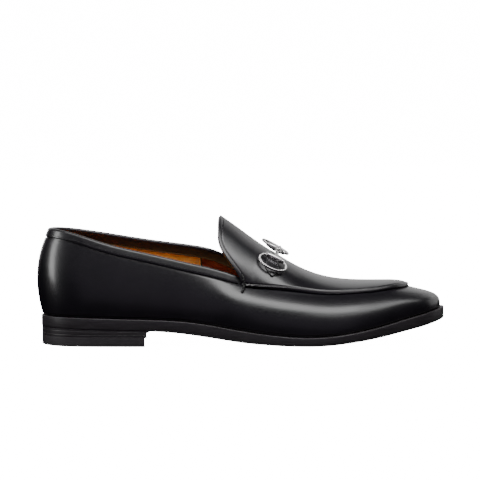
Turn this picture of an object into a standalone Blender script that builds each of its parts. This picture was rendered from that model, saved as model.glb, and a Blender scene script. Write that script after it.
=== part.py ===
"""A bit loafer for the right foot, built as its maker's separate pieces.

Metres, +Z up, toe along +X, outer side of the foot along -Y. The shoe stands on z = 0 and the origin is on the
floor under its middle. Every form is worked out from one last: a ring of ribs from the sole's feather line up to
the seam under the topline band and apron, and a row of arches that cross the instep between those ribs.
"""

from collections import namedtuple
from math import cos, pi, radians, sin

import bmesh
import bpy
import numpy as np
from mathutils import Vector

# Last
LAST_LENGTH = 0.2955
BALL_WIDTH = 0.0915
HEEL_SEAT_HEIGHT = 0.0222
TOE_SPRING = 0.0165
ARCH_LIFT = 0.0025
COUNTER_HEIGHT = 0.0566
INSTEP_RISE = 0.0284

# Sole and heel
SOLE_EDGE = 0.0067
SOLE_CAMBER = 0.0011
BALL_FLAT_DEPTH = 0.00025
WELT_REACH = 0.0032
SOLE_EDGE_ROUND = 0.0007
HEEL_TOP_PIECE = 0.0074
HEEL_INSET = 0.0003
HEEL_BREAST_AT = 0.0763
HEEL_BREAST_FLARE = 0.0043
HEEL_BREAST_HOLLOW = 0.0058
INSOLE_THICKNESS = 0.0030
INSOLE_EASE = 0.0009

# Upper
WALL = 0.0018
LASTING_MARGIN = 0.0080
FEATHER_ROUND = 0.0016
BAND_WIDTH = 0.0083
BAND_THICKNESS = 0.0011
BAND_PROUD = 0.0005
BAND_STEP = 0.0010
BAND_BEVEL = 0.0006
COLLAR_LEAN = 21.0
COLLAR_END_SLANT = 0.0030
APRON_THICKNESS = 0.0015
TONGUE_THICKNESS = 0.0022
TONGUE_REACH = 0.0263
TONGUE_TIP_NIP = 0.0018

# Bit and its tabs
BIT_AT = 0.1698
BIT_LINK_AT = 0.1728
BIT_SHIFT = 0.0025
BIT_STAND_OFF = 0.0051
LINK_STAND_OFF = 0.0042
RING_REACH = 0.0203
RING_LENGTH = 0.0230
RING_WIDTH = 0.0160
RING_WIRE = 0.0019
RING_TURNS = {-1: 17, 1: 12}
BARREL_LENGTH = 0.0156
BARREL_SET = 0.0013
BARREL_DIAMETER = 0.0048
BARREL_END = 0.0026
BAR_DIAMETER = 0.0030
EYE_DIAMETER = 0.0054
EYE_WIRE = 0.0014
LINK_LENGTH = 0.0076
LINK_HEIGHT = 0.0062
LINK_WIRE = 0.0013
TAB_START = 0.0172
TAB_END = 0.0335
TAB_POINT = 0.0060
TAB_WIDTH = 0.0095
TAB_THICKNESS = 0.0012

# Clearance between pieces that touch
GAP = 0.0003

# Counts of ribs round the last, and of steps up the wall and across the arches and soles
RIBS_PER_ROW = 2
WALL_STEPS = 8
ARCH_STEPS = 14
TONGUE_STEPS = 6
SOLE_STEPS = 6

# Counts of points along the bit's rings, barrels, eyes and link, and round their wire
RING_STEPS = 24
BARREL_STEPS = 8
EYE_STEPS = 14
LINK_STEPS = 16
WIRE_SIDES = 8
BARREL_SIDES = 12
BAR_SIDES = 10

# Ribs of the last from the heel to the toe. foot_x and top_x are shares of LAST_LENGTH, foot_y and top_y of half of
# BALL_WIDTH, and rise is the seam's height over the feather line as a share of COUNTER_HEIGHT. splay and lean are
# the wall's slopes from upright at its foot and its top in degrees, and foot_hold and top_hold say for which share
# of the rib's chord it keeps them. welt is the sole's reach past the rib as a share of WELT_REACH.
Rib = namedtuple("Rib", "foot_x foot_y top_x top_y rise splay lean foot_hold top_hold welt")
HEEL_RIB = Rib(0.0, 0.0, 0.0078, 0.0, 1.000, 17, 24, 0.33, 0.35, 0.30)
TOE_RIB = Rib(1.0, 0.0, 0.917, 0.0, 0.376, 4, 75, 0.38, 0.68, 0.85)
LATERAL_RIBS = (
    Rib(0.0186, 0.328, 0.0270, 0.262, 0.998, 15, 22, 0.33, 0.35, 0.30),
    Rib(0.0710, 0.564, 0.0830, 0.455, 0.950, 13, 19, 0.33, 0.35, 0.35),
    Rib(0.1690, 0.669, 0.1690, 0.579, 0.829, 11, 17, 0.33, 0.34, 0.40),
    Rib(0.2710, 0.717, 0.2670, 0.630, 0.723, 10, 17, 0.33, 0.34, 0.40),
    Rib(0.3655, 0.748, 0.3570, 0.656, 0.639, 10, 20, 0.33, 0.35, 0.45),
    Rib(0.4500, 0.831, 0.4320, 0.669, 0.599, 11, 30, 0.33, 0.38, 0.60),
    Rib(0.5210, 0.951, 0.4940, 0.678, 0.569, 9, 44, 0.34, 0.44, 0.80),
    Rib(0.5920, 1.045, 0.5700, 0.710, 0.576, 8, 54, 0.35, 0.48, 0.95),
    Rib(0.6630, 1.075, 0.6440, 0.728, 0.567, 7, 59, 0.36, 0.50, 1.00),
    Rib(0.7310, 1.045, 0.7130, 0.706, 0.523, 6, 61, 0.36, 0.50, 1.00),
    Rib(0.7990, 0.940, 0.7780, 0.630, 0.487, 6, 62, 0.36, 0.50, 1.00),
    Rib(0.8630, 0.780, 0.8360, 0.520, 0.447, 6, 64, 0.37, 0.52, 0.95),
    Rib(0.9205, 0.600, 0.8765, 0.385, 0.420, 5, 69, 0.37, 0.60, 0.90),
    Rib(0.9680, 0.415, 0.9040, 0.225, 0.391, 4, 73, 0.38, 0.66, 0.85),
    Rib(0.9925, 0.220, 0.9145, 0.108, 0.379, 4, 75, 0.38, 0.68, 0.85),
)
MEDIAL_RIBS = (
    Rib(0.0186, 0.310, 0.0270, 0.262, 0.998, 15, 22, 0.33, 0.35, 0.30),
    Rib(0.0710, 0.546, 0.0830, 0.448, 0.972, 13, 18, 0.33, 0.35, 0.35),
    Rib(0.1690, 0.625, 0.1690, 0.557, 0.910, 14, 15, 0.33, 0.34, 0.35),
    Rib(0.2710, 0.597, 0.2670, 0.586, 0.838, 18, 15, 0.33, 0.34, 0.25),
    Rib(0.3655, 0.573, 0.3570, 0.594, 0.799, 20, 17, 0.34, 0.35, 0.20),
    Rib(0.4500, 0.630, 0.4320, 0.603, 0.769, 18, 24, 0.34, 0.37, 0.35),
    Rib(0.5210, 0.732, 0.4940, 0.612, 0.682, 14, 36, 0.34, 0.42, 0.55),
    Rib(0.5920, 0.863, 0.5700, 0.634, 0.636, 10, 47, 0.35, 0.46, 0.75),
    Rib(0.6630, 0.951, 0.6440, 0.651, 0.602, 8, 54, 0.36, 0.48, 0.85),
    Rib(0.7310, 0.984, 0.7130, 0.638, 0.552, 6, 58, 0.36, 0.50, 0.90),
    Rib(0.7990, 0.940, 0.7780, 0.581, 0.505, 6, 60, 0.36, 0.50, 0.90),
    Rib(0.8630, 0.810, 0.8360, 0.490, 0.456, 6, 63, 0.37, 0.52, 0.90),
    Rib(0.9205, 0.625, 0.8765, 0.366, 0.422, 5, 69, 0.37, 0.60, 0.90),
    Rib(0.9680, 0.425, 0.9040, 0.218, 0.391, 4, 73, 0.38, 0.66, 0.85),
    Rib(0.9925, 0.225, 0.9145, 0.106, 0.379, 4, 75, 0.38, 0.68, 0.85),
)

# Feather line along the length. heel is its lift as a share of the heel seat's height over the ball, toe as a share
# of TOE_SPRING, arch of ARCH_LIFT on the inner side; edge is the sole's thickness at its edge as a share of
# SOLE_EDGE, and belly is how much of SOLE_CAMBER the underside has there.
Bed = namedtuple("Bed", "at heel toe arch edge belly")
BED = (
    Bed(-0.05, 1.000, 0.000, 0.0, 1.30, 0.0),
    Bed(0.00, 1.000, 0.000, 0.0, 1.30, 0.0),
    Bed(0.15, 0.930, 0.000, 0.1, 1.30, 0.0),
    Bed(0.28, 0.855, 0.000, 0.6, 1.30, 0.0),
    Bed(0.345, 0.780, 0.000, 0.9, 1.38, 0.3),
    Bed(0.415, 0.610, 0.000, 1.0, 1.43, 0.8),
    Bed(0.46, 0.455, 0.000, 0.8, 1.38, 1.0),
    Bed(0.51, 0.295, 0.000, 0.5, 1.30, 1.0),
    Bed(0.56, 0.165, 0.000, 0.2, 1.18, 1.0),
    Bed(0.60, 0.080, 0.000, 0.1, 1.09, 1.0),
    Bed(0.646, 0.010, 0.000, 0.0, 1.00, 1.0),
    Bed(0.70, 0.000, 0.012, 0.0, 1.00, 1.0),
    Bed(0.774, 0.000, 0.152, 0.0, 1.06, 0.9),
    Bed(0.85, 0.000, 0.405, 0.0, 1.19, 0.7),
    Bed(0.917, 0.000, 0.700, 0.0, 1.33, 0.5),
    Bed(0.96, 0.000, 0.872, 0.0, 1.36, 0.3),
    Bed(1.00, 0.000, 1.060, 0.0, 1.34, 0.1),
    Bed(1.02, 0.000, 1.150, 0.0, 1.34, 0.0),
)

# Arches over the instep, by the place of their crest. at is a share of LAST_LENGTH, rise the crest's height over the
# seam as a share of INSTEP_RISE, roundness 1 for a half ellipse and 2 for a parabola, and flare the hollow above
# the seam.
Arch = namedtuple("Arch", "at rise roundness flare")
ARCHES = (
    Arch(0.440, 1.615, 1.15, 0.00),
    Arch(0.488, 1.306, 1.18, 0.06),
    Arch(0.533, 1.000, 1.22, 0.20),
    Arch(0.575, 0.771, 1.28, 0.28),
    Arch(0.646, 0.442, 1.50, 0.22),
    Arch(0.714, 0.268, 1.60, 0.08),
    Arch(0.778, 0.183, 1.55, 0.00),
    Arch(0.836, 0.152, 1.40, 0.00),
    Arch(0.8765, 0.114, 1.20, 0.00),
    Arch(0.904, 0.074, 1.30, 0.00),
    Arch(0.9145, 0.025, 1.60, 0.00),
    Arch(0.917, 0.000, 1.60, 0.00),
)

# Rows of the rib tables at which the collar ends, the apron starts and the vamp runs on under it
COLLAR_END_ROW = 7.0
APRON_START_ROW = 7.12
THROAT_ROW = 7.5
TOE_ROW = 16.0

# Share of the tongue's height at which its edge reaches its rearmost line, and how fast it bends there
TONGUE_SHOULDER = 0.77
TONGUE_BEND = 1.65

# Powers for how close the flare keeps to the seam, and the tongue's nip to its crest
FLARE_POWER = 4
NIP_POWER = 8

# Shares of the bar's length at which it is thickest, of a tab's straight part at its rows, and of a tab's width at
# its points across and at its tip
BAR_SHOULDERS = (0.35, 0.70)
TAB_ROWS = (0.0, 0.33, 0.67, 1.0)
TAB_ACROSS = (-0.5, -0.2, 0.2, 0.5)
TAB_TIP = 0.2

# Colour, roughness, metallic value and clear coat of each finish
Finish = namedtuple("Finish", "colour roughness metallic coat")
BOX_CALF = Finish((0.008, 0.007, 0.008), 0.25, 0.0, 0.5)
SOLE_LEATHER = Finish((0.018, 0.016, 0.016), 0.45, 0.0, 0.0)
TOP_RUBBER = Finish((0.012, 0.012, 0.012), 0.6, 0.0, 0.0)
INSOLE_BOARD = Finish((0.45, 0.22, 0.07), 0.6, 0.0, 0.0)
POLISHED_STEEL = Finish((0.60, 0.60, 0.62), 0.15, 1.0, 0.0)


def spline(knots, values, at):
    """Natural cubic spline through rows of values at the knots, read at each number of at."""
    knots = np.asarray(knots, float)
    values = np.asarray(values, float)
    steps = np.diff(knots)
    slopes = np.diff(values, axis=0) / steps[:, None]
    system = np.eye(len(knots))
    bends = np.zeros_like(values)
    for i in range(1, len(knots) - 1):
        system[i, i - 1 : i + 2] = steps[i - 1], 2 * (steps[i - 1] + steps[i]), steps[i]
        bends[i] = 6 * (slopes[i] - slopes[i - 1])
    bends = np.linalg.solve(system, bends)
    at = np.clip(np.atleast_1d(np.asarray(at, float)), knots[0], knots[-1])
    i = np.clip(np.searchsorted(knots, at) - 1, 0, len(steps) - 1)
    h = steps[i][:, None]
    before = (knots[i + 1] - at)[:, None] / h
    after = 1 - before
    bent = (before**3 - before) * bends[i] + (after**3 - after) * bends[i + 1]
    return before * values[i] + after * values[i + 1] + bent * h**2 / 6


def rib_rows():
    """Knots and rows of the ring of ribs from the heel along the outer side, wrapped past each end."""
    outer = [rib._replace(foot_y=-rib.foot_y, top_y=-rib.top_y) for rib in LATERAL_RIBS]
    ring = [HEEL_RIB, *outer, TOE_RIB, *reversed(MEDIAL_RIBS)]
    wrap = 6
    rows = ring[-wrap:] + ring + ring[: wrap + 1]
    return np.arange(-wrap, len(ring) + wrap + 1), np.array(rows, float)


RIB_KNOTS, RIB_ROWS = rib_rows()
RING_ROWS = 2 * TOE_ROW


def bed(x):
    """Row of the bed table at each x, as columns in the table's order without at."""
    rows = np.array(BED, float)
    return spline(rows[:, 0], rows[:, 1:], np.ravel(x) / LAST_LENGTH)


def feather_height(x, y):
    """Height of the feather line's surface over the floor at each x and y."""
    ball = SOLE_EDGE + SOLE_CAMBER
    heel, toe, arch, _, _ = bed(x).T
    inner = np.clip(np.ravel(y) / (BALL_WIDTH / 2), 0, 1) ** 2
    return ball + heel * (HEEL_SEAT_HEIGHT - ball) + toe * TOE_SPRING + arch * ARCH_LIFT * 2 * inner


def stood_off(x, y, clearance):
    """Height of a surface that keeps a clearance, square to it, over the feather line's surface."""
    step = LAST_LENGTH / 1000
    slope = (feather_height(np.ravel(x) + step, y) - feather_height(np.ravel(x) - step, y)) / (2 * step)
    return feather_height(x, y) + clearance * np.sqrt(1 + slope**2)


def outward(ring):
    """Level unit directions out of a ring of points that runs from the heel along the outer side to the toe."""
    along = (np.roll(ring, -1, axis=0) - np.roll(ring, 1, axis=0))[:, :2]
    across = np.stack([along[:, 1], -along[:, 0], np.zeros(len(ring))], axis=1)
    return across / np.linalg.norm(across, axis=1)[:, None]


class Last:
    """Feet, tops and slopes of the ribs at a ring of places, each a row number of the rib tables."""

    def __init__(self, at):
        rows = spline(RIB_KNOTS, RIB_ROWS, at)
        half = BALL_WIDTH / 2
        foot_x, foot_y = rows[:, 0] * LAST_LENGTH, rows[:, 1] * half
        top_x, top_y = rows[:, 2] * LAST_LENGTH, rows[:, 3] * half
        self.at = np.asarray(at, float)
        self.foot = np.stack([foot_x, foot_y, feather_height(foot_x, foot_y)], axis=1)
        top_z = feather_height(top_x, 0 * top_x) + rows[:, 4] * COUNTER_HEIGHT
        self.top = np.stack([top_x, top_y, top_z], axis=1)
        self.splay, self.lean = np.radians(rows[:, 5]), np.radians(rows[:, 6])
        chord = np.linalg.norm(self.top - self.foot, axis=1)
        self.foot_hold, self.top_hold = rows[:, 7] * chord, rows[:, 8] * chord
        self.welt = rows[:, 9] * WELT_REACH
        self.foot_out = outward(self.foot)
        self.top_out = outward(self.top)

    def wall(self, share):
        """Points of the wall's outer face at a share of the way from its foot to its top."""
        up = np.array([0.0, 0.0, 1.0])
        tip = self.foot_out * np.sin(self.splay)[:, None] + up * np.cos(self.splay)[:, None]
        drop = self.top_out * np.sin(self.lean)[:, None] - up * np.cos(self.lean)[:, None]
        low = self.foot + tip * self.foot_hold[:, None]
        high = self.top + drop * self.top_hold[:, None]
        rest = 1 - share
        ends = rest**3 * self.foot + share**3 * self.top
        return ends + 3 * rest**2 * share * low + 3 * rest * share**2 * high

    def collar(self, height, proud):
        """Points of the collar at a height over the seam along its slope, and proud of the wall's face."""
        lean = radians(COLLAR_LEAN)
        rise = np.array([0.0, 0.0, cos(lean)]) - self.top_out * sin(lean)
        face = self.top_out * cos(lean) + np.array([0.0, 0.0, sin(lean)])
        return self.top + rise * height + face * proud

    def inside(self, reach):
        """Feet of the ribs moved inwards on the feather line's surface, or outwards where reach is negative."""
        moved = self.foot - self.foot_out * np.reshape(reach, (-1, 1))
        moved[:, 2] = feather_height(moved[:, 0], moved[:, 1])
        return moved


RIB_COUNT = int(RING_ROWS * RIBS_PER_ROW)
RING = Last(np.arange(RIB_COUNT) / RIBS_PER_ROW)


def rib_number(row):
    """Number of the outer side's rib at a row of the tables."""
    return int(round(row * RIBS_PER_ROW))


def seam(row):
    """Seam points of the outer and the inner side at a row of the tables."""
    rows = spline(RIB_KNOTS, RIB_ROWS, [row, RING_ROWS - row])
    x, y = rows[:, 2] * LAST_LENGTH, rows[:, 3] * BALL_WIDTH / 2
    return np.stack([x, y, feather_height(x, 0 * x) + rows[:, 4] * COUNTER_HEIGHT], axis=1)


def arch(row, crest_x, steps=ARCH_STEPS):
    """Points of the arch from the outer seam to the inner seam at a row, with its crest at crest_x."""
    table = np.array(ARCHES, float)
    rise, roundness, flare = spline(table[:, 0], table[:, 1:], crest_x / LAST_LENGTH)[0]
    outer, inner = seam(row)
    turn = np.linspace(-pi / 2, pi / 2, steps + 1)
    level = np.maximum(np.cos(turn), 0) ** roundness * (1 - flare * np.sin(turn) ** FLARE_POWER)
    across = (1 + np.sin(turn)) / 2
    points = outer + (inner - outer) * across[:, None]
    bend = np.sin(pi / 2 * np.minimum(1, level / TONGUE_SHOULDER)) ** TONGUE_BEND
    reach = crest_x - (outer[0] + inner[0]) / 2
    nip = TONGUE_TIP_NIP * level**NIP_POWER * np.clip(-reach / TONGUE_REACH, 0, 1)
    points[:, 0] += reach * bend + nip
    points[:, 2] += level * rise * INSTEP_RISE
    return points


def vamp_arches():
    """Rows of points over the vamp from the throat to the tip of the apron."""
    first, last = rib_number(THROAT_ROW), rib_number(TOE_ROW)
    rows = [k / RIBS_PER_ROW for k in range(first, last + 1)]
    return np.array([arch(row, seam(row)[:, 0].mean()) for row in rows])


def tongue_arches():
    """Rows of points from the tongue's free edge to just before the throat."""
    throat = seam(THROAT_ROW)[:, 0].mean()
    shares = [k / TONGUE_STEPS for k in range(TONGUE_STEPS)]
    start, end = APRON_START_ROW, THROAT_ROW
    return np.array([arch(start + (end - start) * s, throat - TONGUE_REACH * (1 - s)) for s in shares])


def faces_of(grid, closed=False):
    """Unit normals of a grid of points, out of the shoe; a closed grid runs round in its first direction."""
    around = np.gradient(grid, axis=0)
    if closed:
        around = (np.roll(grid, -1, axis=0) - np.roll(grid, 1, axis=0)) / 2
    normals = np.cross(around, np.gradient(grid, axis=1))
    size = np.linalg.norm(normals, axis=2)
    for i, j in zip(*np.nonzero(size < 1e-3 * size.max())):
        normals[i, j] = normals[i - 1].sum(axis=0)
        size[i, j] = np.linalg.norm(normals[i, j])
    return normals / size[:, :, None]


def lifted(grid, lift):
    """A grid of points moved off its own surface, outwards, by lift."""
    return grid + faces_of(grid) * np.reshape(lift, (len(grid), -1, 1))


def pairs(ring):
    """The outer side's points of a ring of ribs and the inner side's points across from them, heel to toe."""
    half = len(ring) // 2
    outer = ring[: half + 1]
    inner = np.array([ring[-k % len(ring)] for k in range(half + 1)])
    return outer, inner


def bridged(outer, inner, steps):
    """Grid of points straight across between two lines of points."""
    shares = np.linspace(0, 1, steps + 1)[None, :, None]
    return outer[:, None] * (1 - shares) + inner[:, None] * shares


def make_object(name, bm, finish, parent):
    """Puts a bmesh into a named object with its own material, under the shoe's empty."""
    mesh = bpy.data.meshes.new(name)
    bm.to_mesh(mesh)
    bm.free()
    mesh.shade_smooth()
    mesh.set_sharp_from_angle(angle=radians(35))
    material = bpy.data.materials.new(name)
    material.use_nodes = True
    shader = material.node_tree.nodes["Principled BSDF"]
    shader.inputs["Base Color"].default_value = (*finish.colour, 1)
    shader.inputs["Roughness"].default_value = finish.roughness
    shader.inputs["Metallic"].default_value = finish.metallic
    shader.inputs["Coat Weight"].default_value = finish.coat
    mesh.materials.append(material)
    made = bpy.data.objects.new(name, mesh)
    bpy.context.collection.objects.link(made)
    made.parent = parent
    return made


def add_patch(bm, grid, closed=False, inner=None):
    """Adds a grid of points as faces; a closed grid joins its last row to its first, and inner keeps each
    point's place on the inside of a shell."""
    rows = [[bm.verts.new(point) for point in row] for row in grid]
    if inner is not None:
        layer = bm.verts.layers.float_vector["inside"]
        for row, places in zip(rows, inner):
            for vert, place in zip(row, places):
                vert[layer] = place
    if closed:
        rows.append(rows[0])
    for here, there in zip(rows, rows[1:]):
        for k in range(len(here) - 1):
            bm.faces.new((here[k], there[k], there[k + 1], here[k + 1]))


def weld(bm):
    """Joins the points of patches where they meet, and drops the faces that close up there."""
    bmesh.ops.remove_doubles(bm, verts=bm.verts, dist=1e-6)
    bmesh.ops.dissolve_degenerate(bm, edges=bm.edges, dist=1e-6)


def welded(patches):
    """A closed bmesh of patches, each a grid and whether it is closed."""
    bm = bmesh.new()
    for grid, closed in patches:
        add_patch(bm, grid, closed)
    weld(bm)
    bmesh.ops.recalc_face_normals(bm, faces=bm.faces)
    return bm


def shell(patches):
    """A closed bmesh with a wall, of patches that are each an outer grid, its inner grid and whether it is closed."""
    bm = bmesh.new()
    layer = bm.verts.layers.float_vector.new("inside")
    for outer, inner, closed in patches:
        add_patch(bm, outer, closed, inner)
    weld(bm)
    rims = [edge.link_loops[0] for edge in bm.edges if edge.is_boundary]
    rims = [(loop.vert, loop.link_loop_next.vert) for loop in rims]
    outer_faces = list(bm.faces)
    inside = {vert: bm.verts.new(vert[layer]) for vert in list(bm.verts)}
    for face in outer_faces:
        bm.faces.new([inside[vert] for vert in reversed(face.verts)])
    for start, end in rims:
        bm.faces.new((end, start, inside[start], inside[end]))
    bmesh.ops.recalc_face_normals(bm, faces=bm.faces)
    return bm


def rim(grid):
    """Ring of points round the edge of a grid."""
    ends = grid[1:, -1], grid[-1, -2::-1], grid[-2::-1, 0]
    return np.concatenate([grid[0], *ends])[:-1]


def slab(top, bottom, sides=()):
    """A closed bmesh between two grids of the same size, with rings of side points from the top to the bottom."""
    rings = [rim(top), *sides, rim(bottom)]
    return welded([(top, False), (bottom, False), (np.stack(rings, axis=1), True)])


def sole_bottom(x, y, outer_y, inner_y):
    """Height of the outsole's underside at points whose section runs from outer_y to inner_y."""
    edge, belly = bed(x)[:, 3], bed(x)[:, 4]
    middle = (outer_y + inner_y) / 2
    half = np.maximum((inner_y - outer_y) / 2, 1e-6)
    level = 1 - np.clip(((y - middle) / half) ** 2, 0, 1)
    height = feather_height(x, y) - GAP - edge * (SOLE_EDGE - GAP) - belly * (SOLE_CAMBER + BALL_FLAT_DEPTH) * level
    return np.maximum(height, 0)


def under_sole(grid):
    """A grid of points dropped onto the outsole's underside."""
    flat = grid.reshape(-1, 3)
    outer = np.repeat(grid[:, 0, 1], grid.shape[1])
    inner = np.repeat(grid[:, -1, 1], grid.shape[1])
    flat = flat.copy()
    flat[:, 2] = sole_bottom(flat[:, 0], flat[:, 1], outer, inner)
    return flat.reshape(grid.shape)


def sole_outline(shrink=0.0, last=RING):
    """Ring of the sole's outline, drawn in by shrink."""
    return last.inside(shrink - last.welt)


def outsole(parent):
    """Leather sole with a rounded edge, from the heel seat to the toe spring."""
    top = bridged(*pairs(sole_outline(SOLE_EDGE_ROUND)), SOLE_STEPS)
    top[:, :, 2] = feather_height(top[:, :, 0], top[:, :, 1]).reshape(top.shape[:2]) - GAP
    bottom = under_sole(bridged(*pairs(sole_outline(SOLE_EDGE_ROUND)), SOLE_STEPS))
    full = bridged(*pairs(sole_outline()), SOLE_STEPS)
    low = under_sole(full)
    high = full.copy()
    high[:, :, 2] = feather_height(full[:, :, 0], full[:, :, 1]).reshape(full.shape[:2]) - GAP
    high[:, :, 2] -= SOLE_EDGE_ROUND
    low[:, :, 2] += SOLE_EDGE_ROUND
    return make_object("outsole", slab(top, bottom, [rim(high), rim(low)]), SOLE_LEATHER, parent)


def heel_grid(shrink, flare=0.0):
    """Grid over the heel's plan at the sole's underside, to the hollow breast, which flare moves ahead."""
    full = sole_outline(shrink)
    outer, inner = pairs(full)
    numbers = np.arange(len(outer))
    count = int(min(np.interp(HEEL_BREAST_AT, line[:, 0], numbers) for line in (outer, inner)))
    grid = list(bridged(outer[:count], inner[:count], SOLE_STEPS))
    outer_end, inner_end = (np.interp(HEEL_BREAST_AT + flare, line[:, 0], numbers) for line in (outer, inner))
    keys = np.arange(-1, RIB_COUNT + 1)
    outline = np.concatenate([full[-1:], full, full[:1]])
    ends = spline(keys, outline, [outer_end, RIB_COUNT - inner_end])
    breast = bridged(ends[:1], ends[1:], SOLE_STEPS)[0]
    share = np.linspace(-1, 1, SOLE_STEPS + 1)
    breast[:, 0] -= HEEL_BREAST_HOLLOW * (1 - share**2)
    return under_sole(np.array(grid + [breast]))


def heel(parent):
    """Stacked heel block, whose breast flares ahead at its top, and the rubber piece under it."""
    seat = heel_grid(HEEL_INSET, HEEL_BREAST_FLARE)
    seat[:, :, 2] -= GAP
    split, under = heel_grid(HEEL_INSET), heel_grid(HEEL_INSET)
    split[:, :, 2] = HEEL_TOP_PIECE + GAP
    middle = heel_grid(HEEL_INSET, HEEL_BREAST_FLARE / 4)
    middle[:, :, 2] = (middle[:, :, 2] + HEEL_TOP_PIECE) / 2
    make_object("heel_block", slab(seat, split, [rim(middle)]), SOLE_LEATHER, parent)
    under[:, :, 2] = HEEL_TOP_PIECE
    floor = heel_grid(HEEL_INSET + SOLE_EDGE_ROUND)
    floor[:, :, 2] = 0
    make_object("heel_top_piece", slab(under, floor), TOP_RUBBER, parent)


def insole(parent):
    """Board inside the upper, on its lasting margin."""
    grid = bridged(*pairs(RING.inside(WALL + INSOLE_EASE)), SOLE_STEPS)
    bottom, top = grid.copy(), grid.copy()
    bottom[:, :, 2] = stood_off(grid[:, :, 0], grid[:, :, 1], WALL + GAP).reshape(grid.shape[:2])
    top[:, :, 2] = bottom[:, :, 2] + INSOLE_THICKNESS
    return make_object("insole", slab(top, bottom), INSOLE_BOARD, parent)


def collar_ribs():
    """Numbers of the ribs that carry the collar, from the inner side's end round the heel to the outer side's."""
    end = rib_number(COLLAR_END_ROW)
    return np.arange(-end, end + 1) % RIB_COUNT


def collar_line(height, proud):
    """Points along the collar at one height, with its two front ends slanted back."""
    line = RING.collar(height, proud)[collar_ribs()]
    for end in (0, -1):
        line[end, 0] -= COLLAR_END_SLANT * height / BAND_WIDTH
    return line


def upper(parent):
    """Lasted leather shell: turned-in margin, walls, stepped collar and the vamp under the apron."""
    shares = np.linspace(0, 1, WALL_STEPS + 1)
    rows = [RING.inside(LASTING_MARGIN), RING.inside(FEATHER_ROUND)]
    foot = RING.wall(0)
    first = RING.wall(0.01) - foot
    first /= np.linalg.norm(first, axis=1)[:, None]
    rows.append(foot + first * FEATHER_ROUND)
    rows.extend(RING.wall(share) for share in shares[1:])
    walls = np.stack(rows, axis=1)
    walls_inside = walls - faces_of(walls, closed=True) * WALL
    recess = BAND_THICKNESS + GAP - BAND_PROUD
    levels = ((0, 0), (BAND_STEP, -recess), (BAND_WIDTH, -recess))
    collar = np.stack([collar_line(*level) for level in levels], axis=1)
    collar_inside = np.stack([collar_line(height, proud - WALL) for height, proud in levels], axis=1)
    collar_inside[:, 0] = walls_inside[collar_ribs(), -1]
    vamp = vamp_arches()
    vamp_inside = lifted(vamp, np.full(len(vamp), -WALL))
    ribs = np.arange(rib_number(THROAT_ROW), rib_number(TOE_ROW) + 1)
    vamp_inside[:, 0] = walls_inside[ribs, -1]
    vamp_inside[:, -1] = walls_inside[-ribs % RIB_COUNT, -1]
    vamp_inside[-1] = walls_inside[ribs[-1], -1]
    patches = (walls, walls_inside, True), (collar, collar_inside, False), (vamp, vamp_inside, False)
    return make_object("upper", shell(patches), BOX_CALF, parent)


def apron_grid():
    """Rows of points of the apron with its tongue, on the upper's own surface."""
    return np.concatenate([tongue_arches(), vamp_arches()])


def apron_tongue(parent):
    """Raised apron cut in one with the tongue."""
    grid = apron_grid()
    free = np.clip(1 - np.arange(len(grid)) / TONGUE_STEPS, 0, 1)[:, None]
    inner = np.cos(np.linspace(-pi / 2, pi / 2, ARCH_STEPS + 1))[None, :].clip(0)
    under = GAP - free * inner * (TONGUE_THICKNESS - APRON_THICKNESS)
    top = lifted(grid, np.full(len(grid), GAP + APRON_THICKNESS))
    return make_object("apron_tongue", slab(top, lifted(grid, under)), BOX_CALF, parent)


def topline_band(parent):
    """Strip sewn around the collar, in the upper's step."""
    inside = BAND_PROUD - BAND_THICKNESS
    low, high = BAND_STEP + GAP, BAND_WIDTH
    section = (
        (low, inside),
        (low, BAND_PROUD - BAND_BEVEL / 2),
        (low + BAND_BEVEL, BAND_PROUD),
        (high - BAND_BEVEL, BAND_PROUD),
        (high, BAND_PROUD - BAND_BEVEL / 2),
        (high, inside),
    )
    tube = np.stack([collar_line(*point) for point in section], axis=0)
    bm = welded([(tube, True)])
    bmesh.ops.holes_fill(bm, edges=[edge for edge in bm.edges if edge.is_boundary], sides=0)
    bmesh.ops.recalc_face_normals(bm, faces=bm.faces)
    return make_object("topline_band", bm, BOX_CALF, parent)


def apron_place(x, reach, side):
    """Point and normal of the apron's face at a distance along the arch from the crest at x, towards a side."""
    rows = np.linspace(THROAT_ROW - 1, TOE_ROW - 1, 60)
    middles = [seam(row)[:, 0].mean() for row in rows]
    step = LAST_LENGTH / 300
    near = (x - step, x, x + step)
    fine = 8 * ARCH_STEPS
    grid = np.array([arch(np.interp(place, middles, rows), place, fine) for place in near])
    normals = faces_of(grid)[1]
    line = grid[1] + normals * (GAP + APRON_THICKNESS)
    walked = np.concatenate([[0], np.cumsum(np.linalg.norm(np.diff(line, axis=0), axis=1))])
    at = walked[fine // 2] + side * reach
    point = [np.interp(at, walked, line[:, k]) for k in range(3)]
    normal = [np.interp(at, walked, normals[:, k]) for k in range(3)]
    return Vector(point), Vector(normal).normalized()


def tube(bm, path, radii, sides, closed=False):
    """Adds a round tube along a path, with a radius at each point and flat ends where it isn't closed."""
    path = [Vector(point) for point in path]
    rings = []
    for k, point in enumerate(path):
        after = path[(k + 1) % len(path)] if closed else path[min(k + 1, len(path) - 1)]
        before = path[k - 1] if closed else path[max(k - 1, 0)]
        along = (after - before).normalized()
        side = along.orthogonal() if not rings else rings[-1][1] - along * rings[-1][1].dot(along)
        side.normalize()
        over = along.cross(side)
        turns = (2 * pi * n / sides for n in range(sides))
        rings.append(([point + (side * cos(t) + over * sin(t)) * radii[k] for t in turns], side))
    loops = [[bm.verts.new(point) for point in ring] for ring, _ in rings]
    for here, there in zip(loops, loops[1:] + loops[:1] * closed):
        for n in range(sides):
            bm.faces.new((here[n - 1], here[n], there[n], there[n - 1]))
    if not closed:
        bm.faces.new(loops[0])
        bm.faces.new(loops[-1])
    bmesh.ops.recalc_face_normals(bm, faces=bm.faces)


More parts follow.
